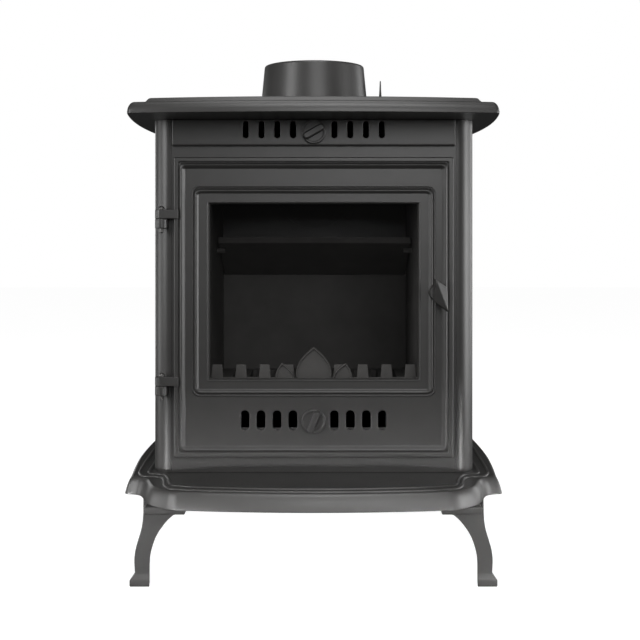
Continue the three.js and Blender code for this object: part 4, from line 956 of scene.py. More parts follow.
@dataclass
class TopPlate:
    """The hob: a bowed plate with a round lip, a ledge and a raised field.

    Args:
        bow: How far the front edge bows out.
        corner_x: Half width at the corners.
        lip_drop: How far the lip hangs below the plate's seat.
        lip_height: Height of the lip.
        lip_round: How far in the lip's curve ends.
        ledge: Flat ledge behind the lip.
        slope: Width of the slope up to the field.
        field: Height of the raised field over the plate's seat for the flue.
        seat: Radius of that seat.
        corner_round: Rounding of the corners in plan.
        bore: Radius of the flue hole.
        flue_y: Depth of the flue's centre.
        pocket_depth: How far the underside is hollow.
    """

    bow: float = 20 * MM
    corner_x: float = 220.7 * MM
    lip_drop: float = 1.2 * MM
    lip_height: float = 14.2 * MM
    lip_round: float = 8.2 * MM
    ledge: float = 9.5 * MM
    slope: float = 5.5 * MM
    field: float = 2.6 * MM
    seat: float = 93 * MM
    corner_round: float = 7 * MM
    bore: float = 62.5 * MM
    flue_y: float = 14 * MM
    pocket_depth: float = 8.5 * MM

    def outline(self, inset: float) -> list[Point]:
        """The plate's outline, moved in by a distance."""
        low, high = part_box("top_plate")
        corner_x, corner_y = self.corner_x - inset, low.y + self.bow + inset
        front_y, rear_y = low.y + inset, high.y - inset
        bulge = high.x - self.corner_x
        front = bowed(corner_x, front_y, corner_y - front_y)
        side = []
        for i in range(1, BOW_STEPS):
            t = i / BOW_STEPS
            side.append((corner_x + bulge * 4 * t * (1 - t), corner_y + (rear_y - corner_y) * t))
        near = max(self.corner_round - inset, 1.5 * MM)
        line = filleted([
            (*front[-1], 0), (corner_x, corner_y, near), (*side[0], 0),
        ], 6)[1:-1]
        rear = filleted([(*side[-1], 0), (corner_x, rear_y, near), (0, rear_y, 0)], 6)[1:]
        return both_halves(front + line + side + rear)

    def build(self) -> None:
        """Builds the plate as one hoop through the flue hole."""
        low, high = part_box("top_plate")
        foot = low.z - self.lip_drop
        lip_top = foot + self.lip_height
        field = high.z + self.field
        reach = self.lip_round + self.ledge
        inside = 26 * MM  # how far in the rings follow the plate's outline
        profile = [(inside, low.z), (5 * MM, foot), (0.7 * MM, foot), (0.1 * MM, foot + 0.3 * MM)]
        for i in range(13):
            angle = math.radians(7.5 * i)
            profile.append((self.lip_round * (1 - math.cos(angle)),
                            foot + 0.9 * MM + (lip_top - foot - 0.9 * MM) * math.sin(angle)))
        profile += filleted([
            (self.lip_round + 1 * MM, lip_top, 0), (reach, lip_top, 1.6 * MM),
            (reach + self.slope, field, 2.0 * MM), (reach + inside, field, 0),
        ], 8)
        rings = [at_z(self.outline(inset), z) for inset, z in profile]
        centre = Vector((0, self.flue_y))
        ways = [(Vector(point) - centre).normalized() for point in self.outline(0)]
        for radius, z in ((self.seat + 1.2 * MM, field), (self.seat, field - 0.8 * MM), (self.seat, high.z)):
            rings.append(at_z([tuple(centre + way * radius) for way in ways], z))
        bore = [tuple(centre + way * self.bore) for way in ways]
        rings.append(at_z(bore, high.z))
        rings.append(at_z(bore, high.z - self.pocket_depth))
        pocket = self.pocket(ways, centre)
        rings.append(at_z(pocket, high.z - self.pocket_depth))
        rings.append(at_z(pocket, low.z))
        dressed(lofted("hob_casting", rings, hoop=True), Slot.STOVE_IRON, "root", "top_plate")

    def pocket(self, ways: list[Vector], centre: Vector) -> list[Point]:
        """The hollow under the plate, matched point by point to its outline.

        Args:
            ways: Direction of each outline point from the flue.
            centre: The flue's centre.

        Returns:
            The hollow's outline.
        """
        low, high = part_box("front_frame")[0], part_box("back_panel")[1]
        wall = 16 * MM
        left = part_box("left_side_panel")[0].x + wall
        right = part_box("right_side_panel")[1].x - wall
        points = []
        for way in ways:
            reach_x = ((right if way.x > 0 else left) - centre.x) / way.x if abs(way.x) > 1e-9 else math.inf
            edge_y = high.y - wall if way.y > 0 else low.y + wall
            reach_y = (edge_y - centre.y) / way.y if abs(way.y) > 1e-9 else math.inf
            spot = centre + way * min(reach_x, reach_y)
            points.append((spot.x, spot.y))
        return points


@dataclass
class Flue:
    """The flue collar, its bolts, and the damper with its lever.

    Args:
        centre_y: Depth of the flue's centre.
        bore: Inner radius.
        rim: Outer radius under the rim.
        foot: Outer radius over the flange.
        flange: Radius of the flange.
        flange_thick: Its thickness.
        rim_round: Rounding of the rim's outer edge.
        spindle: Radius of the damper's spindle hole.
    """

    centre_y: float = 14 * MM
    bore: float = 63.5 * MM
    rim: float = 68.2 * MM
    foot: float = 73.5 * MM
    flange: float = 92 * MM
    flange_thick: float = 7.5 * MM
    rim_round: float = 3 * MM
    spindle: float = 3.8 * MM

    def build(self) -> None:
        """Builds the collar, the bolts, the damper plate and the lever."""
        low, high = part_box("flue_collar")
        shelf = low.z + self.flange_thick
        profile = filleted([
            (self.bore, (low.z + high.z) / 2, 0), (self.bore, low.z, 0.6 * MM),
            (self.flange, low.z, 1.2 * MM), (self.flange, shelf, 2.2 * MM),
            (self.foot + 1.5 * MM, shelf, 5 * MM), (self.foot - 0.5 * MM, shelf + 10 * MM, 3 * MM),
            (self.rim, high.z, self.rim_round), (self.bore, high.z, 0.9 * MM),
            (self.bore, (low.z + high.z) / 2, 0),
        ], 7)[:-1]
        centre = Vector((0, self.centre_y, 0))
        collar = revolved("flue_spigot", profile, centre, UPRIGHT, 128, hoop=True)
        axis = centre_of("damper_spindle")[2]
        outline = [(self.centre_y + u, axis + v) for u, v in circle((0, 0), self.spindle)]
        reach = self.flange + 2 * MM
        combine(collar, [lofted("bore", [at_x(outline, -reach), at_x(outline, reach)])])
        dressed(collar, Slot.STOVE_IRON, "root", "flue_collar")
        self.bolts()
        self.lever()
        softened("damper_plate", Slot.FIREBOX_IRON, 0.8 * MM)
        softened("damper_spindle", Slot.STEEL_HARDWARE, 0.5 * MM)

    def bolts(self) -> None:
        """Sets the bolts of the collar's flange."""
        names = [name for name in sorted(NODES) if name.startswith("collar_bolt")]
        spots = [(*centre_of(name)[:2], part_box(name)[1].z) for name in names]
        bolted("collar_bolts", names, spots, 2, (0, 0, 0))

    def lever(self) -> None:
        """Builds the damper's upright lever: a flat finger on a round eye, thinner to its tip."""
        low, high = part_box("damper_lever")
        middle = centre_of("damper_lever")[0]
        half = (high.x - low.x) / 2
        eye = (high.y - low.y) / 2
        axis = low.z + eye
        rings = []
        for height, width, thick in (
            (low.z, 0.2, 0.7), (low.z + 1.5 * MM, 0.62, 0.9), (axis - 2 * MM, 0.98, 1.0),
            (axis + 3 * MM, 0.94, 1.0), (axis + 8 * MM, 0.66, 0.92), (axis + 18 * MM, 0.6, 0.6),
            (high.z - 3 * MM, 0.56, 0.4),
            (high.z - 0.8 * MM, 0.42, 0.32), (high.z, 0.2, 0.2),
        ):
            spots = circle((0, 0), 1, 24)
            rings.append([Vector((middle + u * half * thick, self.centre_y + v * eye * width, height))
                          for u, v in spots])
        dressed(lofted("damper_finger", rings), Slot.STOVE_IRON, "damper", "damper_lever")


def hex_bolt(length: float, across: float = 6 * MM, height: float = 5 * MM, shank: float = 3 * MM) -> Piece:
    """A hexagon bolt with a chamfered head and its shank downward, its top at the origin.

    Args:
        length: Whole length.
        across: Radius over the head's corners.
        height: Height of the head.
        shank: Radius of the shank.

    Returns:
        The bolt.
    """
    hexagon = circle((0, 0), across, 6)
    fine = []
    for i in range(6):
        a, b = Vector(hexagon[i]), Vector(hexagon[(i + 1) % 6])
        fine += [tuple(a.lerp(b, t / 4)) for t in range(4)]
    flat = across * math.cos(math.radians(30))
    top = [tuple(Vector(point).normalized() * flat * 0.96) for point in fine]
    shoulder = [tuple(Vector(point) * (1 - 0.02)) for point in fine]
    rings = [at_z(top, 0), at_z(top, -0.02 * height)]
    drop = [(-0.3 if i % 4 == 0 else -0.14) * height for i in range(len(fine))]
    rings.append([Vector((*point, z)) for point, z in zip(fine, drop)])
    rings += [at_z(fine, -0.9 * height), at_z(shoulder, -height)]
    neck = [tuple(Vector(point).normalized() * shank) for point in fine]
    rings += [at_z(neck, -height), at_z(neck, -length + 0.6 * MM)]
    rings.append(at_z([(x * 0.8, y * 0.8) for x, y in neck], -length))
    return lofted("bolt", rings)


def bolted(name: str, nodes: Sequence[str], spots: Sequence[Sequence[float]], axis: int,
           turn: Sequence[float]) -> None:
    """Sets a group of hexagon bolts.

    Args:
        name: The piece's name.
        nodes: The solids that it stands for.
        spots: Where the top of each head sits.
        axis: Their axis, as 1 for Y and 2 for Z.
        turn: Their turn, as Euler angles in radians.
    """
    low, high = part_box(nodes[0])
    piece = fastened(name, hex_bolt(high[axis] - low[axis]), spots, turn)
    dressed(piece, Slot.STEEL_HARDWARE, "root", *nodes)


# ---------------------------------------------------------------- hinges


@dataclass(frozen=True)
class Hinge:
    """The sizes that the two halves of a door hinge share.

    Args:
        head: Height of the pin's head.
        arm: Height of the arm on the door.
        lug: Height of the lug on the body.
        eye: Outer radius of both.
        bore: Radius of the hole for the pin.
    """

    head: float = 4.4 * MM
    arm: float = 11.3 * MM
    lug: float = 12 * MM
    eye: float = 8.2 * MM
    bore: float = 2.8 * MM

    def hole(self, pin: str, past: float = 0.0) -> Piece:
        """The cutter for a pin's hole, longer than the pin by a distance at both ends."""
        low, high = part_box(pin)
        outline = circle(centre_of(pin)[:2], self.bore)
        return lofted("bore", [at_z(outline, low.z - past), at_z(outline, high.z + past)])


HINGE = Hinge()


# ---------------------------------------------------------------- body


@dataclass
class Body:
    """The box of the stove: sides with round front corners, back, front frame and rear outlet cover.

    Args:
        swell: How far the sides stand out past the back panel.
        pilaster: Radius of the round front corners.
        wall: Thickness of the panels.
        field_inset: Distance from a side's edges to its moulded field.
        field_height: How far that moulding stands out.
    """

    swell: float = 3.6 * MM
    pilaster: float = 23.6 * MM
    wall: float = 8 * MM
    field_inset: float = 34 * MM
    field_height: float = 3 * MM

    def build(self) -> None:
        """Builds every panel."""
        self.side(1, "right_side_panel")
        self.side(-1, "left_side_panel")
        softened("front_frame", Slot.STOVE_IRON, 1.1 * MM, 3)
        softened("back_panel", Slot.STOVE_IRON, 1.2 * MM, 3)
        self.outlet_cover()

    def side(self, side: int, node: str) -> None:
        """Builds one side panel with its round corner, inner ledge and moulded field.

        Args:
            side: 1 for the right panel and -1 for the left.
            node: The solid that it stands for.
        """
        low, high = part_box(node)
        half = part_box("back_panel")[1].x + self.swell
        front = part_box("front_frame")[0].y
        centre = (half - self.pilaster, front + self.pilaster)
        outer = arc(centre, self.pilaster, -90, 0, 18)
        inner = arc(centre, self.pilaster - self.wall, 0, -90, 12)
        section = outer + [(half, high.y), (half - self.wall, high.y)] + inner
        section = [(side * x, y) for x, y in section]
        panel = lofted(f"{node}_casting", [at_z(section, low.z), at_z(section, high.z)])
        ledge_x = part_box("ash_pan")[1].x + 10 * MM
        ledge_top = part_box("grate")[0].z - PLAY
        ends = sorted((side * ledge_x, side * (half - 1 * MM)))
        shelf = box("ledge", (ends[0], centre[1] - 6 * MM, ledge_top - self.wall),
                    (ends[1], high.y, ledge_top))
        combine(panel, [shelf, self.field(side, half, centre[1], low.z, high)], Cut.ADD)
        if side < 0:
            combine(panel, [self.knuckle(pin, front) for pin in HINGE_PINS], Cut.ADD)
            combine(panel, [HINGE.hole(pin, 5 * MM) for pin in HINGE_PINS])
        dressed(panel, Slot.STOVE_IRON, "root", node)

    def field(self, side: int, half: float, front: float, bottom: float, high: Vector) -> Piece:
        """The moulded field on a side panel: a raised bead round a lower flat.

        Args:
            side: 1 for the right panel and -1 for the left.
            half: Half width of the body.
            front: Where the round corner ends.
            bottom: Bottom of the panel.
            high: The panel's highest corner.

        Returns:
            The field.
        """
        y0, y1 = front + self.field_inset, high.y - self.field_inset + 8 * MM
        z0, z1 = bottom + self.field_inset, high.z - self.field_inset
        middle, reach = (y0 + y1) / 2, (y1 - y0) / 2
        tall = self.field_height
        profile = filleted([
            (0, -1 * MM, 0), (0, 0, 0), (2.2 * MM, tall, 2 * MM), (7 * MM, tall, 2 * MM),
            (9.2 * MM, 1.1 * MM, 2 * MM), (16 * MM, 1.1 * MM, 0),
        ], 5)
        rings = []
        for inset, rise in profile:
            outline = rounded_box(reach - inset, z0 + inset, z1 - inset, max(12 * MM - inset, 2 * MM), 8)
            rings.append([Vector((side * (half + rise), middle + u, v)) for u, v in outline])
        return lofted("field", rings)

    def knuckle(self, pin: str, front: float) -> Piece:
        """One cast lug on the left corner that holds a hinge pin.

        Args:
            pin: The pin's node.
            front: Depth of the body's front face.

        Returns:
            The lug.
        """
        axis = centre_of(pin)[:2]
        height, radius = HINGE.lug, HINGE.eye
        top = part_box(pin)[1].z - HINGE.head - PLAY - HINGE.arm - PLAY
        barrel = filleted([
            (0, top - height, 0), (radius, top - height, 1.2 * MM), (radius, top, 1.2 * MM), (0, top, 0),
        ], 5)
        lug = revolved("lug", barrel, Vector((*axis, 0)), UPRIGHT, 48)
        inset = 0.8 * MM
        web = box("web", (axis[0] - radius + 1 * MM, axis[1], top - height + inset),
                  (axis[0] + radius, front + self.wall, top - inset))
        rounded_edges(web, 0.7 * MM, 2)
        return combine(lug, [web], Cut.ADD)

    def outlet_cover(self) -> None:
        """Builds the dished cover of the rear outlet, and its two bolts."""
        low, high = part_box("rear_outlet_cover")
        radius = (high.x - low.x) / 2
        thick = 6 * MM
        profile = filleted([
            (0, 0, 0), (radius, 0, 0.6 * MM), (radius, thick, 2.4 * MM), (radius * 0.72, thick, 2 * MM),
            (radius * 0.62, high.y - low.y, 3 * MM), (0, high.y - low.y, 0),
        ], 6)
        centre = Vector((0, low.y, (low.z + high.z) / 2))
        lid = revolved("outlet_lid", profile, centre, TO_BACK, 96)
        dressed(lid, Slot.STOVE_IRON, "root", "rear_outlet_cover")
        names = ["outlet_cover_bolt_left", "outlet_cover_bolt_right"]
        spots = [(centre_of(name)[0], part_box(name)[1].y, centre.z) for name in names]
        bolted("outlet_bolts", names, spots, 1, (math.radians(-90), 0, 0))


# ---------------------------------------------------------------- air controls


@dataclass
class AirKnob:
    """A round knob with a grip bar across its face.

    Args:
        radius: Radius of the disc.
        thick: Its thickness.
        grip_length: Length of the bar.
        grip_width: Its width.
        edge: Rounding of disc and bar.
    """

    radius: float = 15.4 * MM
    thick: float = 5.5 * MM
    grip_length: float = 28 * MM
    grip_width: float = 8.2 * MM
    edge: float = 1.3 * MM

    def build(self, node: str, piece: str, angle: float) -> None:
        """Builds one knob.

        Args:
            node: The solid that it stands for.
            piece: The piece's name.
            angle: How far the bar is turned from level, in degrees.
        """
        low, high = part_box(node)
        z = centre_of(node)[2]
        seat = self.seat(node)
        spindle = 3.5 * MM
        profile = filleted([
            (0, high.y - seat, 0), (spindle, high.y - seat, 0.5 * MM), (spindle, 0, 0),
            (self.radius - 0.6 * MM, 0, 0.5 * MM), (self.radius, -1.2 * MM, 0.5 * MM),
            (self.radius, -self.thick, self.edge), (self.radius - 2.6 * MM, -self.thick, 0.5 * MM),
            (self.radius - 3.2 * MM, -self.thick + 0.5 * MM, 0.4 * MM), (0, -self.thick + 0.5 * MM, 0),
        ], 5)
        profile = [(radius, -height) for radius, height in profile]
        disc = revolved(piece, profile, Vector((0, seat, z)), TO_FRONT, 96)
        top = seat - self.thick
        reach = top - low.y
        turn = Matrix.Rotation(math.radians(-angle), 3, "Y")
        rings = []
        half, wide = self.grip_length / 2, self.grip_width / 2
        for inset, rise in filleted([
            (-0.9 * MM, -1 * MM, 0), (-0.9 * MM, 0, 0), (0, 1.2 * MM, 1 * MM), (0.35 * MM, reach, self.edge),
            (2.4 * MM, reach, 0),
        ], 5):
            outline = rounded_box(half - inset, -wide + inset, wide - inset, wide - inset - 0.2 * MM, 8)
            rings.append([Vector((0, top - rise, z)) + turn @ Vector((u, 0, v)) for u, v in outline])
        combine(disc, [lofted("bar", rings)], Cut.ADD)
        dressed(disc, Slot.STOVE_IRON, body_of(node), node)

    def seat(self, node: str) -> float:
        """Depth of the disc's rear face, just in front of what it turns on."""
        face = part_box("upper_fascia")[0].y if node.startswith("upper") else DoorFace().field_y()
        return face - PLAY


@dataclass
class Fascia:
    """The upper panel with its row of air slots.

    Args:
        slots: Its row of slots.
        edge: Rounding of the panel's front edge.
        foot: How much taller that rounding is along the bottom.
    """

    slots: AirSlots = AirSlots(7.3 * MM, 21 * MM, 565 * MM, 26 * MM, 20 * MM, 1.1 * MM)
    edge: float = 1.4 * MM
    foot: float = 2.2

    def build(self) -> None:
        """Builds the panel, its shutter and its knob."""
        low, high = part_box("upper_fascia")
        profile = filleted([
            (0, high.y, 0), (0, low.y, self.edge), (12 * MM, low.y, 0),
        ], 6)
        rings = []
        for inset, y in profile:
            corner = max(1.2 * MM - inset, 0.1 * MM)
            bottom = low.z + inset + (self.foot - 1) * min(inset, self.edge)
            rings.append(at_y(rounded_box(high.x - inset, bottom, high.z - inset, corner, 4), y))
        panel = lofted("air_fascia", rings)
        hole = spindle_hole(0, centre_of("upper_air_knob")[2], KNOB_BORE, low.y - PAST, high.y + PAST)
        combine(panel, [self.slots.cutter(low.y, high.y + PAST), hole])
        dressed(panel, Slot.STOVE_IRON, "root", "upper_fascia")
        AirKnob().build("upper_air_knob", "upper_knob_casting", 30)
        softened("upper_air_shutter", Slot.SHEET_STEEL, 0.3 * MM)
        softened("upper_air_crank", Slot.STEEL_HARDWARE, 0.3 * MM)


# ---------------------------------------------------------------- door


@dataclass
class DoorFace:
    """The door casting: border, groove, bead, flat field, window moulding, slots and hinge arms.

    Args:
        field_drop: How far the flat field lies behind the border.
        window: Half width of the window.
        window_low: Bottom of the window.
        window_high: Top of the window.
        moulding: Width of the moulding round the window.
        crown: Height of the moulding over the field.
        border: Depth of the border's face in front of the door's rear face.
        rebate: Depth of the glass's seat in front of that face.
        travel: How far the air shutter slides.
        slots: The row of air slots.
    """

    field_drop: float = 2.6 * MM
    window: float = 131 * MM
    window_low: float = 251 * MM
    window_high: float = 470.6 * MM
    moulding: float = 22.6 * MM
    crown: float = 3.2 * MM
    border: float = 13.4 * MM
    rebate: float = 5.6 * MM
    travel: float = 10.1 * MM
    slots: AirSlots = AirSlots(11 * MM, 25 * MM, 198 * MM, 26 * MM, 20.2 * MM, 1.3 * MM)

    def front_y(self) -> float:
        """Depth of the outer border's face."""
        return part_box("door_frame")[1].y - self.border

    def field_y(self) -> float:
        """Depth of the flat field."""
        return self.front_y() + self.field_drop

    def blank(self) -> Piece:
        """The door's plate with its border, groove and bead."""
        low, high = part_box("door_frame")
        drop = self.field_drop
        profile = filleted([
            (0, high.y - self.field_y(), 0), (0, -drop, 2.0 * MM), (5.3 * MM, -drop, 0.6 * MM),
            (6.0 * MM, -drop + 1.5 * MM, 0.4 * MM), (6.6 * MM, -drop + 1.5 * MM, 0.3 * MM),
            (8.9 * MM, -drop - 1.2 * MM, 2.1 * MM), (10.6 * MM, -drop - 1.2 * MM, 0.9 * MM),
            (14.4 * MM, 0, 0.6 * MM), (18 * MM, 0, 0),
        ], 5)
        rounds = [(0, 1.5), (5.3, 3.2), (7.0, 5.0), (9.2, 6.2), (10.3, 5.6), (14.4, 1.6), (18, 0.8)]
        rings = []
        for inset, depth in profile:
            radius = blended(rounds, inset / MM) * MM
            outline = rounded_box(high.x - inset, low.z + inset, high.z - inset, radius, 8)
            rings.append(at_y(outline, self.field_y() + depth))
        return lofted("door_casting", rings)

    def window_frame(self) -> Piece:
        """The moulding round the window, as a hoop that also makes the opening's edge."""
        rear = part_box("door_frame")[1].y - self.rebate
        wide = self.moulding
        profile = filleted([
            (0, 1.5 * MM, 0), (0, 0, 0.3 * MM), (0.8 * MM, -1.8 * MM, 1.2 * MM),
            (1.9 * MM, -1.8 * MM, 0.5 * MM), (2.4 * MM, -0.7 * MM, 0.3 * MM),
            (2.9 * MM, -0.7 * MM, 0.3 * MM), (4.6 * MM, -self.crown, 1.6 * MM),
            (6.4 * MM, -self.crown, 0.8 * MM), (9.0 * MM, -0.6 * MM, 0.6 * MM),
            (wide - 3.4 * MM, -0.6 * MM, 0.7 * MM), (wide - 2.7 * MM, -1.1 * MM, 0.5 * MM),
            (wide - 2.0 * MM, -1.0 * MM, 0.8 * MM), (wide, 2.6 * MM, 0.8 * MM),
            (wide, rear - self.field_y(), 0), (0, rear - self.field_y(), 0),
        ], 5)
        rounds = [(0, 9.0), (2.4, 8.2), (4.7, 7.0), (6.2, 6.0), (9.0, 2.2), (19, 1.6), (wide / MM, 1.2)]
        rings = []
        for inset, depth in profile:
            reach = wide - inset
            radius = blended(rounds, inset / MM) * MM
            low, high = self.window_low - reach, self.window_high + reach
            outline = rounded_box(self.window + reach, low, high, radius, 8)
            rings.append(at_y(outline, self.field_y() + depth))
        return lofted("window_moulding", rings, hoop=True)

    def arm(self, pin: str) -> Piece:
        """One hinge arm: a flat bar with a round eye over its pin.

        Args:
            pin: The hinge pin's node.

        Returns:
            The arm.
        """
        axis = centre_of(pin)[:2]
        height, radius = HINGE.arm, HINGE.eye
        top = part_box(pin)[1].z - HINGE.head - PLAY
        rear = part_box("door_frame")[1].y - 0.2 * MM
        inner = -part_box("door_frame")[1].x + 6 * MM
        eye = arc(axis, radius, 90, 270, 20)
        outline = eye + [(inner, axis[1] - radius), (inner, rear), (axis[0] + 2 * MM, rear)]
        outline = [point for point in outline if point[1] <= rear + 1e-6]
        bar = lofted("arm", [at_z(outline, top - height), at_z(outline, top)])
        return rounded_edges(bar, 0.9 * MM, 3, 50)

    def build(self) -> None:
        """Builds the casting and cuts its window, seats, slots and holes."""
        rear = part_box("door_frame")[1].y
        casting = self.blank()
        seam = 6 * MM
        window = rounded_box(self.window + seam, self.window_low - seam, self.window_high + seam, 2 * MM, 8)
        opening = lofted("opening", [at_y(window, self.front_y() - 9 * MM), at_y(window, rear + PAST)])
        combine(casting, [opening])
        combine(casting, [self.window_frame()], Cut.ADD)
        combine(casting, [self.arm(pin) for pin in HINGE_PINS], Cut.ADD)
        combine(casting, self.cutters(rear))
        dressed(casting, Slot.STOVE_IRON, "door", "door_frame")

    def cutters(self, rear: float) -> list[Piece]:
        """Everything that is cut out of the casting.

        Args:
            rear: Depth of the door's rear face.

        Returns:
            The cutters.
        """
        glass_low, glass_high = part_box("door_glass")
        rope_low, rope_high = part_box("door_rope_seal")
        shutter_low, shutter_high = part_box("lower_air_shutter")
        behind = rear + PAST
        seat = rounded_box(glass_high.x + PLAY, glass_low.z - PLAY, glass_high.z + PLAY, 3 * MM, 4)
        rebate = lofted("rebate", [at_y(seat, rear - self.rebate), at_y(seat, behind)])
        outer = rounded_box(rope_high.x + PLAY, rope_low.z - PLAY, rope_high.z + PLAY, 7 * MM, 8)
        width = 8 * MM
        inner = rounded_box(rope_high.x + PLAY - width, rope_low.z - PLAY + width, rope_high.z + PLAY - width,
                            6 * MM, 8)
        floor = rope_low.y - PLAY
        groove = lofted("groove", [
            at_y(outer, floor), at_y(outer, behind), at_y(inner, behind), at_y(inner, floor),
        ], hoop=True)
        reach = shutter_high.x + self.travel + 2 * MM
        pocket = box("pocket", (-reach, shutter_low.y - PLAY, shutter_low.z - PLAY),
                     (reach, behind, shutter_high.z + PLAY))
        row = self.slots.cutter(self.field_y(), behind)
        front = self.front_y() - 6 * MM
        knob = spindle_hole(0, centre_of("lower_air_knob")[2], KNOB_BORE, front, behind)
        handle = spindle_hole(*handle_axis(), 4.3 * MM, front, behind)
        return [rebate, groove, pocket, row, knob, handle, *(HINGE.hole(pin) for pin in HINGE_PINS)]


def handle_axis() -> Point:
    """The door handle's axis, across and up, which is the middle of its cam's round end."""
    return centre_of("latch_cam")[0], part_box("latch_cam")[1].z - 6.5 * MM


def blended(stops: Sequence[Point], place: float) -> float:
    """The value at a place between stops, each a place and a value."""
    if place <= stops[0][0]:
        return stops[0][1]
    for (a, low), (b, high) in zip(stops, stops[1:]):
        if place <= b:
            return low + (high - low) * (place - a) / (b - a)
    return stops[-1][1]


@dataclass
class DoorFittings:
    """What hangs on the door: pins, handle, knob, clips, glass, gasket and rope.

    Args:
        handle_boss: Radius of the handle's boss.
        strands: Lobes of the rope.
        rope_pitch: Length of one twist of the rope.
    """

    handle_boss: float = 8.2 * MM
    strands: int = 5
    rope_pitch: float = 32 * MM

    def build(self) -> None:
        """Builds every fitting."""
        for node in reversed(HINGE_PINS):
            self.pin(node)
        self.handle()
        AirKnob().build("lower_air_knob", "lower_knob_casting", 67)
        self.rope()
        self.screws()
        for node in sorted(NODES):
            if node.startswith("glass_clip") and "screw" not in node:
                softened(node, Slot.STEEL_HARDWARE, 0.4 * MM)
        softened("lower_air_shutter", Slot.SHEET_STEEL, 0.3 * MM)
        softened("lower_air_crank", Slot.STEEL_HARDWARE, 0.3 * MM)
        softened("latch_cam", Slot.STEEL_HARDWARE, 0.7 * MM)
        softened("door_glass", Slot.DOOR_GLASS, 0.5 * MM)
        softened("glass_gasket", Slot.SEAL_ROPE, 0.2 * MM)

    def pin(self, node: str) -> None:
        """Builds one hinge pin: a domed head, a plain shank and a bevelled tail.

        Args:
            node: The solid that it stands for.
        """
        low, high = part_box(node)
        head, dome, shank = (high.x - low.x) / 2, HINGE.head, 2.5 * MM
        seat = high.z - dome
        profile = filleted([
            (0, low.z, 0), (shank * 0.72, low.z, 0.3 * MM), (shank, low.z + 1.4 * MM, 0.4 * MM),
            (shank, seat, 0), (head, seat, 0.2 * MM), (head, seat + dome * 0.35, 0.8 * MM),
            (head * 0.72, high.z - 0.5 * MM, 1.4 * MM), (0, high.z, 0),
        ], 6)
        axis = Vector((*centre_of(node)[:2], 0))
        turned = revolved(f"{node}_turned", profile, axis, UPRIGHT, 40)
        dressed(turned, Slot.STEEL_HARDWARE, body_of(node), node)

    def handle(self) -> None:
        """Builds the handle: a faceted lug on a round boss, with its spindle."""
        low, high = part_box("door_handle")
        x, z = handle_axis()
        seat = DoorFace().field_y() - 3.5 * MM
        boss_front = low.y + 15 * MM
        spindle = 4 * MM
        profile = filleted([
            (0, high.y, 0), (spindle, high.y, 0.5 * MM), (spindle, seat, 0),
            (self.handle_boss + 1.4 * MM, seat, 0.6 * MM),
            (self.handle_boss + 1.2 * MM, seat - 1.6 * MM, 0.8 * MM),
            (self.handle_boss, seat - 3 * MM, 1.2 * MM),
            (self.handle_boss, boss_front - 1 * MM, 0), (0, boss_front - 1 * MM, 0),
        ], 5)
        boss = revolved("handle_casting", [(r, -y) for r, y in profile], Vector((x, 0, z)), TO_FRONT, 64)
        shape = bmesh.new()
        outline = [(-3.5, 18.5), (-5, -9.5), (13.5, -24), (12.6, 7)]
        ridge = [(-2, 17), (12.4, -21.5)]
        for y, points in ((boss_front + 1 * MM, outline), (boss_front - 4 * MM, outline), (low.y, ridge)):
            for u, v in points:
                shape.verts.new((x + u * MM, y, z + v * MM))
        bmesh.ops.convex_hull(shape, input=shape.verts)
        grip = from_bmesh("grip", shape)
        rounded_edges(grip, 1.5 * MM, 4, 12)
        combine(boss, [grip], Cut.ADD)
        dressed(boss, Slot.STOVE_IRON, "handle", "door_handle")

    def rope(self) -> None:
        """Builds the door's rope: a lobed section twisted along its groove."""
        low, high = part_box("door_rope_seal")
        across, deep = 7.4 * MM, high.y - low.y
        middle = across / 2
        route = rounded_box(high.x - middle, low.z + middle, high.z - middle, 3.6 * MM, 8)
        line = wire("door_rope", [[(u, (low.y + high.y) / 2, v) for u, v in route]], closed=True)
        section = []
        for i in range(self.strands * 8):
            angle = 2 * math.pi * i / (self.strands * 8)
            lobe = 0.93 + 0.07 * abs(math.cos(self.strands * angle / 2))
            radius = lobe * min(across, deep) / 2
            section.append((radius * math.cos(angle), radius * math.sin(angle), 0))
        outline = wire("rope_section", [section], closed=True)
        length = sum((Vector(a) - Vector(b)).length for a, b in zip(route, route[1:] + route[:1]))
        turns = float(round(length / self.rope_pitch))
        SWEEP.run(line, Slot.SEAL_ROPE, Section=outline, Turns=turns, Step=2.5 * MM)
        bpy.data.objects.remove(outline)
        dressed(line, Slot.SEAL_ROPE, "door", "door_rope_seal")

    def screws(self) -> None:
        """Sets the slotted screws of the glass clips."""
        names = [node for node in sorted(NODES) if node.startswith("glass_clip_screw")]
        spots = [(centre_of(name)[0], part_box(name)[1].y, centre_of(name)[2]) for name in names]
        low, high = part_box(names[0])
        length, radius, tall = high.y - low.y, (high.x - low.x) / 2, 2.8 * MM
        profile = filleted([
            (0, 0, 0), (radius * 0.5, 0, 0.3 * MM), (radius, -tall * 0.6, 1.2 * MM),
            (radius, -tall, 0.2 * MM), (2.2 * MM, -tall, 0), (2.2 * MM, -length + 0.5 * MM, 0.2 * MM),
            (1.6 * MM, -length, 0), (0, -length, 0),
        ], 5)
        head = revolved("screw", profile, Vector((0, 0, 0)), UPRIGHT, 32)
        groove = box("groove", (-radius * 1.2, -0.5 * MM, -1.1 * MM), (radius * 1.2, 0.5 * MM, 1 * MM))
        combine(head, [groove])
        piece = fastened("clip_screws", head, spots, (math.radians(-90), 0, 0))
        dressed(piece, Slot.STEEL_HARDWARE, "door", *names)


# ---------------------------------------------------------------- hearth and legs


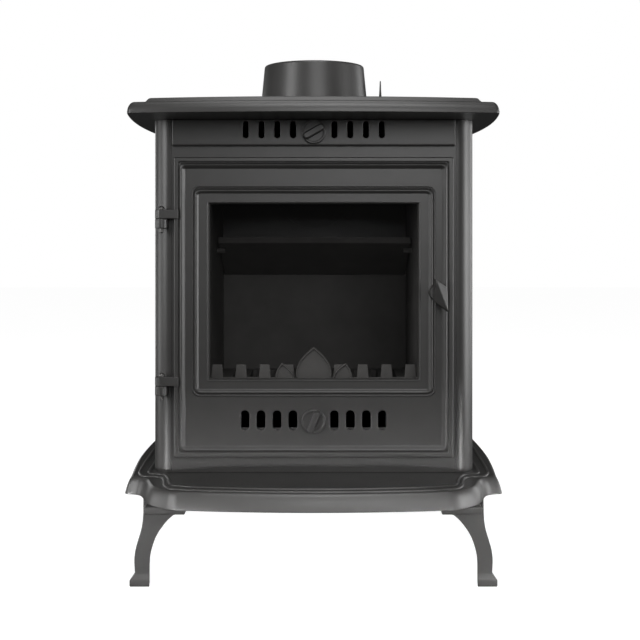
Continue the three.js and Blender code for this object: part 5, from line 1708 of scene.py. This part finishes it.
@dataclass
class Hearth:
    """The hearth plate: a bowed lip, stepped front corners and a pair of raised beads.

    Its lines are given in millimetres for the right half, with the depth counted from the front lip.

    Args:
        foot_line: The lip's lower edge from the end of the bow round the stepped corner to the rear.
        top_line: The lip's upper edge, point by point beside the lower one.
        bow: How far the front bows out between its two ends.
        top_bow: The same along the upper edge.
        lip_reach: How far the lip's slope runs in from the edge.
        lip_slope: The two inner control points of that slope, in from the edge and up from its foot.
        rear_round: Rounding of the rear corners.
        bead: Radius of the two beads.
        bead_rise: How far they stand over the plate.
        inner_bead: The line of the inner bead.
        outer_bead: The line of the outer bead.
        pocket: Depth left over the hollow under the plate.
    """

    foot_line: tuple[Point, ...] = (
        (160, 10.6), (170, 14), (178, 18.8), (187, 26), (195.6, 34.7), (201.4, 44.4), (206, 57),
        (210, 70), (213.5, 78), (219, 84), (226, 87), (232.5, 88.8), (235.3, 92.2), (235.8, 104),
        (237.2, 130), (240, 165), (242, 200), (242.8, 230), (242.2, 275), (240, 330), (236, 390), (233, 425),
    )
    top_line: tuple[Point, ...] = (
        (158.5, 20), (167.2, 23), (173.5, 27), (180.5, 33), (187.5, 40.5), (192.8, 48.5), (197, 60),
        (201, 73.5), (205, 83), (212.5, 91), (219.5, 95), (224.5, 98), (226.2, 101.5), (226.8, 110),
        (228, 131), (230.6, 165), (232.5, 200), (233.3, 230), (232.7, 275), (230.5, 330), (226.5, 390),
        (223.8, 421),
    )
    bow: float = 10.6
    top_bow: float = 10.5
    lip_reach: float = 9.5
    lip_slope: tuple[Point, Point] = ((2.1, 9.5), (5.2, 19.0))
    rear_round: float = 16
    bead: float = 2.3 * MM
    bead_rise: float = 1.9 * MM
    inner_bead: tuple[Point, ...] = (
        (0, 27.1), (60, 28.8), (120, 34.8), (145, 39.2), (158, 43.6), (166, 46), (171.5, 49), (174.5, 55.5),
        (176.6, 64.5), (179, 78), (183.4, 92), (189.2, 102.5), (196, 106.5), (203, 108), (208, 113),
        (209.5, 128), (209.5, 220), (209.5, 420),
    )
    outer_bead: tuple[Point, ...] = (
        (0, 12.9), (60, 14.5), (120, 19), (143, 22), (158, 26), (165.5, 27.6), (171, 30), (176, 37.5),
        (179.5, 47), (181.3, 58), (183, 69), (186, 80.5), (191, 88.8), (198, 91.5), (206, 92.2),
        (214, 96), (219, 108),
        (221.5, 130), (223, 220), (223, 420),
    )
    pocket: float = 8 * MM

    def outline(self, share: float) -> list[Point]:
        """The lip's outline between its lower and its upper edge.

        Args:
            share: 0 for the lower edge and 1 for the upper one.

        Returns:
            Its points.
        """
        low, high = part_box("hearth_plate")
        turn = [tuple(Vector(foot).lerp(Vector(top), share))
                for foot, top in zip(self.foot_line, self.top_line)]
        rise = self.bow + (self.top_bow - self.bow) * share
        start = turn[0][1] - rise
        front = bowed(turn[0][0], start, rise)
        steps = 6
        smooth = through([front[-3], *turn], steps)[steps:]  # it starts on the bow, so that no kink shows
        depth = (high.y - low.y) / MM - self.lip_reach * share
        near = turn[-1][0] - 1.5
        end = filleted([(*turn[-1], 0), (near, depth, self.rear_round), (0, depth, 0)], 8)[1:]
        return both_halves([(x * MM, low.y + y * MM) for x, y in front + smooth + end])

    def bead_line(self, line: Sequence[Point]) -> list[Point]:
        """One bead's line from its left end round the front to its right end."""
        low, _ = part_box("hearth_plate")
        half = [(x * MM, low.y + y * MM) for x, y in through(line, 8, True)]
        return [(-x, y) for x, y in reversed(half[1:])] + half

    def build(self) -> None:
        """Builds the plate, its beads and the hollow under it."""
        low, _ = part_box("hearth_plate")
        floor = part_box("ash_pan")[0].z - PLAY
        foot = low.z + 1 * MM
        slope = [(u, foot + v * MM) for u, v in self.lip_slope]
        lip = bezier([(0, foot), *slope, (self.lip_reach, floor)], 14)
        profile = [(0.7, low.z), (0.1, low.z + 0.3 * MM)] + lip
        rings = [at_z(self.outline(inset / self.lip_reach), z) for inset, z in profile]
        plate = lofted("hearth_casting", rings)
        combine(plate, [self.hollow(low, floor)])
        section = wire("bead_section", [[(x, y, 0) for x, y in circle((0, 0), self.bead, 24)]], closed=True)
        axis = floor + self.bead_rise - self.bead
        for line in (self.inner_bead, self.outer_bead):
            bead = wire("bead", [[(x, y, axis) for x, y in self.bead_line(line)]])
            SWEEP.run(bead, Slot.STOVE_IRON, Section=section, Turns=0.0, Step=1.5 * MM)
            combine(plate, [bead], Cut.ADD)
        bpy.data.objects.remove(section)
        dressed(plate, Slot.STOVE_IRON, "root", "hearth_plate")

    def hollow(self, low: Vector, floor: float) -> Piece:
        """The cutter for the hollow under the plate, with the pads of the legs left out.

        Args:
            low: The plate's lowest corner.
            floor: Its upper face.

        Returns:
            The cutter.
        """
        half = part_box("hearth_plate")[1].x
        inside = ((0, 15), (150, 26), (184, 48), (188, 104), (216, 118), (226, 230), (218, 434), (0, 434))
        shape = both_halves([(x * MM, low.y + y * MM) for x, y in inside])
        cutter = lofted("hollow", [at_z(shape, low.z - PAST), at_z(shape, floor - self.pocket)])
        pads = []
        for leg in ("front_left", "front_right", "rear_left", "rear_right"):
            leg_low, leg_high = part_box(f"leg_{leg}")
            inner, outer = sorted((leg_low.x, leg_high.x), key=abs)
            ends = sorted((inner - math.copysign(5 * MM, inner), math.copysign(half, outer)))
            pads.append(box("pad", (ends[0], leg_low.y - 5 * MM, low.z - 9 * MM),
                            (ends[1], leg_high.y + 3 * MM, floor)))
        return combine(cutter, pads)


@dataclass
class Legs:
    """The four cabriole legs and the bolts that hold them.

    Args:
        foot_width: Width of the foot.
        foot_height: Height of its block.
        ankle: Height of the flare over the block.
        thick: Thickness of the leg, front to back.
        draft: How far the blade narrows to the rear on each side.
        edge: Rounding of its edges.
        flange_end: How far the flange stops short of the blade's outer face.
        outer: Half width of the outer face at heights over the floor, in millimetres.
        inner: The same for the inner face.
    """

    foot_width: float = 24.6 * MM
    foot_height: float = 8.2 * MM
    ankle: float = 6.6 * MM
    thick: float = 30 * MM
    draft: float = 4.8 * MM
    edge: float = 1.0 * MM
    flange_end: float = 8.5 * MM
    outer: tuple[Point, ...] = (
        (220.0, 14.8), (220.4, 23), (220.7, 31), (220.2, 39), (218.6, 48), (215.7, 57.8), (212.8, 67.6),
        (210.8, 77), (209.8, 88), (209.6, 99),
    )
    inner: tuple[Point, ...] = (
        (172.6, 87.2), (178.2, 82.3), (182.7, 77.4), (186.4, 72.5), (189.9, 67.6), (192.6, 62.7),
        (195.0, 57.8), (198.3, 48), (200.6, 38.2), (201.3, 28.3), (201.4, 14.8),
    )

    def build(self) -> None:
        """Builds the legs and their bolts."""
        names = []
        for side, across in ((-1, "left"), (1, "right")):
            for end in ("front", "rear"):
                self.leg(side, f"leg_{end}_{across}")
                names.append(f"leg_bolt_{end}_{across}")
        spots = [(*centre_of(name)[:2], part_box(name)[0].z) for name in names]
        bolted("leg_bolts", names, spots, 2, (math.pi, 0, 0))
        for node in sorted(NODES):
            if node.startswith("tie_rod"):
                softened(node, Slot.STEEL_HARDWARE, 0.4 * MM)

    def outline(self, top: float, inner_end: float, draft: float) -> list[Point]:
        """The blade's outline from the front, for the right side.

        Args:
            top: Height of the leg's top.
            inner_end: Half width at the flange's inner end.
            draft: How far both sides are moved in.

        Returns:
            Its points, counterclockwise.
        """
        outer = [(x - draft, z) for x, z in through([(x * MM, z * MM) for x, z in self.outer], 4)]
        inner = [(x + draft, z) for x, z in through([(x * MM, z * MM) for x, z in self.inner], 4)]
        web_end = (inner_end + 6 * MM + draft, top - 17.7 * MM)
        shoulder, sole = top - 1 * MM, 3 * MM
        return ([(outer[0][0], sole)] + outer + [(outer[-1][0], shoulder), (web_end[0], shoulder), web_end]
                + inner + [(inner[-1][0], sole)])

    def leg(self, side: int, node: str) -> None:
        """Builds one leg: a curved blade, a flared foot and a flange.

        Args:
            side: 1 for the right legs and -1 for the left.
            node: The solid that it stands for.
        """
        low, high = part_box(node)
        foot = max(abs(low.x), abs(high.x))
        inner = min(abs(low.x), abs(high.x))
        front = self.web_front(node)
        inset = 2.4 * MM
        rings = [at_y([(side * x, z) for x, z in self.outline(high.z, inner, draft)], y)
                 for draft, y in ((0, front + inset), (self.draft, front + self.thick - inset))]
        blade = lofted(f"{node}_casting", rings)
        rounded_edges(blade, self.edge, 3, 40)
        ends = sorted((side * inner, side * (self.outer[-1][0] * MM - self.flange_end)))
        flange = box("flange", (ends[0], low.y, high.z - 9 * MM), (ends[1], high.y, high.z))
        rounded_edges(flange, 1.4 * MM, 3)
        combine(blade, [self.foot(side, foot, front), flange], Cut.ADD)
        dressed(blade, Slot.STOVE_IRON, "root", node)

    def web_front(self, node: str) -> float:
        """Depth of the front face of a leg's foot."""
        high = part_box(node)[1]
        return high.y - self.thick - 26 * MM if "front" in node else high.y - self.thick

    def foot(self, side: int, foot: float, front: float) -> Piece:
        """The foot: a block with a flared top that narrows to the ankle.

        Args:
            side: 1 for the right legs and -1 for the left.
            foot: Half width at its outer face.
            front: Depth of its front face.

        Returns:
            The foot.
        """
        rings = []
        for share, z in self.foot_levels():
            edge = max(0.8 * MM - z, 0)
            outer = foot - (foot - self.outer[0][0] * MM) * share - edge
            heel = foot - self.foot_width + 0.2 * MM * share + edge
            y0 = front + 2.4 * MM * share + edge
            y1 = front + self.thick - 2.4 * MM * share - edge
            draft = self.draft * (y1 - y0) / self.thick
            corners = [(outer, y0), (outer - draft * 0.3, y1), (heel + draft, y1), (heel, y0)]
            rings.append(at_z([(side * x, y) for x, y in corners], z))
        piece = lofted("foot", rings)
        return rounded_edges(piece, 0.7 * MM, 3, 30)

    def foot_levels(self) -> list[Point]:
        """How far the flare has narrowed at each height."""
        top = self.foot_height + self.ankle
        levels = [(0.0, 0.0), (0.0, 0.8 * MM), (0.0, self.foot_height)]
        for i in range(1, 6):
            t = i / 5
            rise = self.foot_height + 0.4 * MM + (top - self.foot_height - 0.4 * MM) * t
            levels.append((0.1 + 0.9 * t ** 0.85, rise))
        levels.append((1.0, top + 3 * MM))
        return levels


# ---------------------------------------------------------------- firebox


@dataclass
class Firebox:
    """The lining, baffle, grate, fence and ash pan.

    Args:
        fence_thick: Thickness of the fence.
        tooth: Half width of a tooth's top.
        tooth_pitch: Between teeth.
        tooth_first: From the middle to the nearest tooth.
        teeth: Teeth on each side.
        leaf_rim: Width of the raised rim of a leaf.
    """

    fence_thick: float = 5 * MM
    tooth: float = 6.2 * MM
    tooth_pitch: float = 30.7 * MM
    tooth_first: float = 32.4 * MM
    teeth: int = 4
    leaf_rim: float = 1.5 * MM

    def build(self) -> None:
        """Builds the firebox."""
        for node in ("left_liner", "right_liner", "back_liner", "baffle_plate"):
            softened(node, Slot.FIREBOX_IRON, 1.0 * MM, 3)
        softened("grate", Slot.FIREBOX_IRON, 0.8 * MM)
        softened("ash_pan", Slot.SHEET_STEEL, 0.5 * MM)
        self.fence()

    def fence(self) -> None:
        """Builds the fence: a bar, its teeth and three leaves with raised rims."""
        low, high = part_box("fire_fence")
        face, rear = high.y - self.fence_thick, high.y
        bar_top, tooth_top = 248 * MM, 264.5 * MM
        bar = box("fence_casting", (low.x, face, low.z), (high.x, rear, bar_top))
        rounded_edges(bar, 0.8 * MM, 3)
        top, foot = self.tooth, self.tooth + 1.6 * MM
        shape = [(-foot, bar_top - 2 * MM), (foot, bar_top - 2 * MM), (top, tooth_top), (-top, tooth_top)]
        tooth = lofted("tooth", [at_y(shape, face + 0.02 * MM), at_y(shape, rear - 0.02 * MM)])
        rounded_edges(tooth, 0.9 * MM, 3)
        SLOT_ROW.run(tooth, Slot.FIREBOX_IRON,
                     First=self.tooth_first, Pitch=self.tooth_pitch, Count=self.teeth)
        leaves = [self.leaf(side * 36 * MM, 15 * MM, 266.5 * MM, side * 5 * MM, face - 2 * MM, rear)
                  for side in (-1, 1)]
        leaves.append(self.leaf(0, 27 * MM, high.z, 0, face - 4 * MM, rear))
        combine(bar, [tooth, *leaves], Cut.ADD)
        dressed(bar, Slot.FIREBOX_IRON, "root", "fire_fence")

    def leaf(self, x: float, half: float, top: float, lean: float, face: float, rear: float) -> Piece:
        """One pointed leaf with a raised rim.

        Args:
            x: Its middle.
            half: Half its width.
            top: Height of its point.
            lean: How far the point leans out.
            face: Depth of the rim's crest.
            rear: Depth of the fence's rear face.

        Returns:
            The leaf.
        """
        base = 234 * MM
        middle = base + (top - base) * 0.5
        left = bezier([(x - half * 0.55, base), (x - half * 1.35, middle), (x + lean, top)], 16)
        right = bezier([(x + lean, top), (x + half * 1.35, middle), (x + half * 0.55, base)], 16)
        outline = list(reversed(left[:-1] + right))
        rim = self.leaf_rim
        rings = [at_y(outline, rear - 1 * MM), at_y(outline, face + 1.3 * MM)]
        for inset, drop in ((0.25 * rim, 0.5 * MM), (0.6 * rim, 0), (0.9 * rim, 0), (1.3 * rim, 0.5 * MM),
                            (1.6 * rim, 1.5 * MM), (2.0 * rim, 1.8 * MM)):
            rings.append(at_y(moved_in(outline, inset), face + drop))
        return lofted("leaf", rings)


# ---------------------------------------------------------------- studio


@dataclass
class SoftLight:
    """One soft lamp that faces the middle of the stove.

    Args:
        name: Its name.
        azimuth: Where it stands round the stove, in degrees from the front to the right.
        elevation: How high it stands, in degrees.
        height: Its height.
        power: Its watts.
        width: Its width.
        distance: How far off it stands.
        target: What it faces.
        spread: How wide its beam opens, in degrees.
    """

    name: str
    azimuth: float
    elevation: float
    height: float
    power: float
    width: float = 0.7
    distance: float = 2.2
    target: tuple[float, float, float] = (0.0, 0.0, 0.35)
    spread: float = 180.0

    def build(self) -> None:
        """Adds the lamp."""
        data = bpy.data.lights.new(self.name, "AREA")
        data.shape = "RECTANGLE"
        data.size, data.size_y = self.width, self.height
        data.energy = self.power
        data.spread = math.radians(self.spread)
        turn, lift = math.radians(self.azimuth), math.radians(self.elevation)
        way = Vector((math.sin(turn) * math.cos(lift), -math.cos(turn) * math.cos(lift), math.sin(lift)))
        lamp = placed(self.name, data)
        lamp.location = Vector(self.target) + way * self.distance
        lamp.rotation_euler = way.to_track_quat("Z", "Y").to_euler()
        lamp.visible_camera = False


@dataclass
class Studio:
    """The camera, the pale floor, the white surround and the lamps.

    Args:
        eye: Where the camera stands.
        lens: Focal length in millimetres, on a 36 mm sensor.
        shift: Vertical shift of the frame.
        surround: Strength of the white surround on the stove.
        legs: What the two low lamps face.
    """

    eye: tuple[float, float, float] = (0.008, -1.496, 0.448)
    lens: float = 61.4
    shift: float = -0.153
    surround: float = 0.04
    legs: tuple[float, float, float] = (0.0, -0.15, 0.04)

    def build(self) -> None:
        """Sets up the scene round the stove."""
        scene = bpy.context.scene
        data = bpy.data.cameras.new("camera")
        data.sensor_width = 36.0
        data.lens = self.lens
        data.shift_y = self.shift
        camera = placed("camera", data)
        camera.location = self.eye
        camera.rotation_euler = (math.radians(90), 0, 0)
        scene.camera = camera
        scene.view_settings.view_transform = "Standard"
        self.world()
        self.floor()
        for lamp in (
            SoftLight("ceiling", 0, 88, 1.2, 12.0, width=1.2),
            SoftLight("top_front", 6, 52, 0.7, 15.0, width=1.2),
            SoftLight("front", 8, 16, 0.8, 11.0, width=1.1),
            SoftLight("left", -52, 14, 1.2, 17.0),
            SoftLight("right", 70, 3, 1.0, 14.0),
            SoftLight("left_side", -88, -1, 0.9, 8.0, width=1.0),
            SoftLight("right_side", 88, 0, 0.9, 12.0, width=1.1),
            SoftLight("rear_left", -140, 2, 1.0, 4.0),
            SoftLight("rear_right", 122, 6, 1.2, 9.0),
            SoftLight("legs_left", -35, -0.4, 0.1, 0.45, 0.6, 1.45, self.legs, 16),
            SoftLight("legs_right", 35, -0.4, 0.1, 0.4, 0.6, 1.45, self.legs, 16),
        ):
            lamp.build()

    def world(self) -> None:
        """Makes the white surround, which the camera sees at full strength."""
        world = bpy.data.worlds.new("surround")
        world.use_nodes = True
        world.node_tree.nodes.clear()
        graph = Graph(world.node_tree)
        seen = graph.add("ShaderNodeLightPath").outputs["Is Camera Ray"]
        lit = graph.add("ShaderNodeBackground", {"Color": (1, 1, 1, 1), "Strength": self.surround})
        shown = graph.add("ShaderNodeBackground", {"Color": (1, 1, 1, 1), "Strength": 1.0})
        mixed = graph.add("ShaderNodeMixShader", {
            "Fac": seen, 1: lit.outputs["Background"], 2: shown.outputs["Background"],
        })
        graph.add("ShaderNodeOutputWorld", {"Surface": mixed.outputs["Shader"]})
        bpy.context.scene.world = world

    def floor(self) -> None:
        """Lays the plain pale floor."""
        reach = 6.0
        corners = [(-reach, -reach, 0), (reach, -reach, 0), (reach, reach, 0), (-reach, reach, 0)]
        mesh = bpy.data.meshes.new("floor")
        mesh.from_pydata(corners, [], [(0, 1, 2, 3)])
        ground = placed("floor", mesh)
        made, graph = blank_material("pale_floor")
        place = graph.add("ShaderNodeTexCoord").outputs["Object"]
        cloud = graph.noise(place, 3.0)
        colour = graph.ramp(cloud, [(0.3, grey(0.2)), (0.7, grey(0.22))])
        graph.surface({
            "Base Color": colour, "Roughness": 0.9, "Specular IOR Level": 0.1,
            "Emission Color": (1, 1, 1, 1), "Emission Strength": 0.97,
        })
        ground.data.materials.append(made)
        ground.visible_diffuse = False
        ground.visible_glossy = False


# ---------------------------------------------------------------- assembly


def main() -> None:
    """Builds the stove piece by piece, then the studio, and logs each piece's face count."""
    logging.basicConfig(level=logging.INFO, format="%(name)s: %(message)s")
    for assembly in (
        TopPlate(), Flue(), Body(), Fascia(), DoorFace(), DoorFittings(), Hearth(), Legs(), Firebox(),
    ):
        assembly.build()
        LOG.info("%s done", type(assembly).__name__)
    Studio().build()


if __name__ == "__main__":
    main()
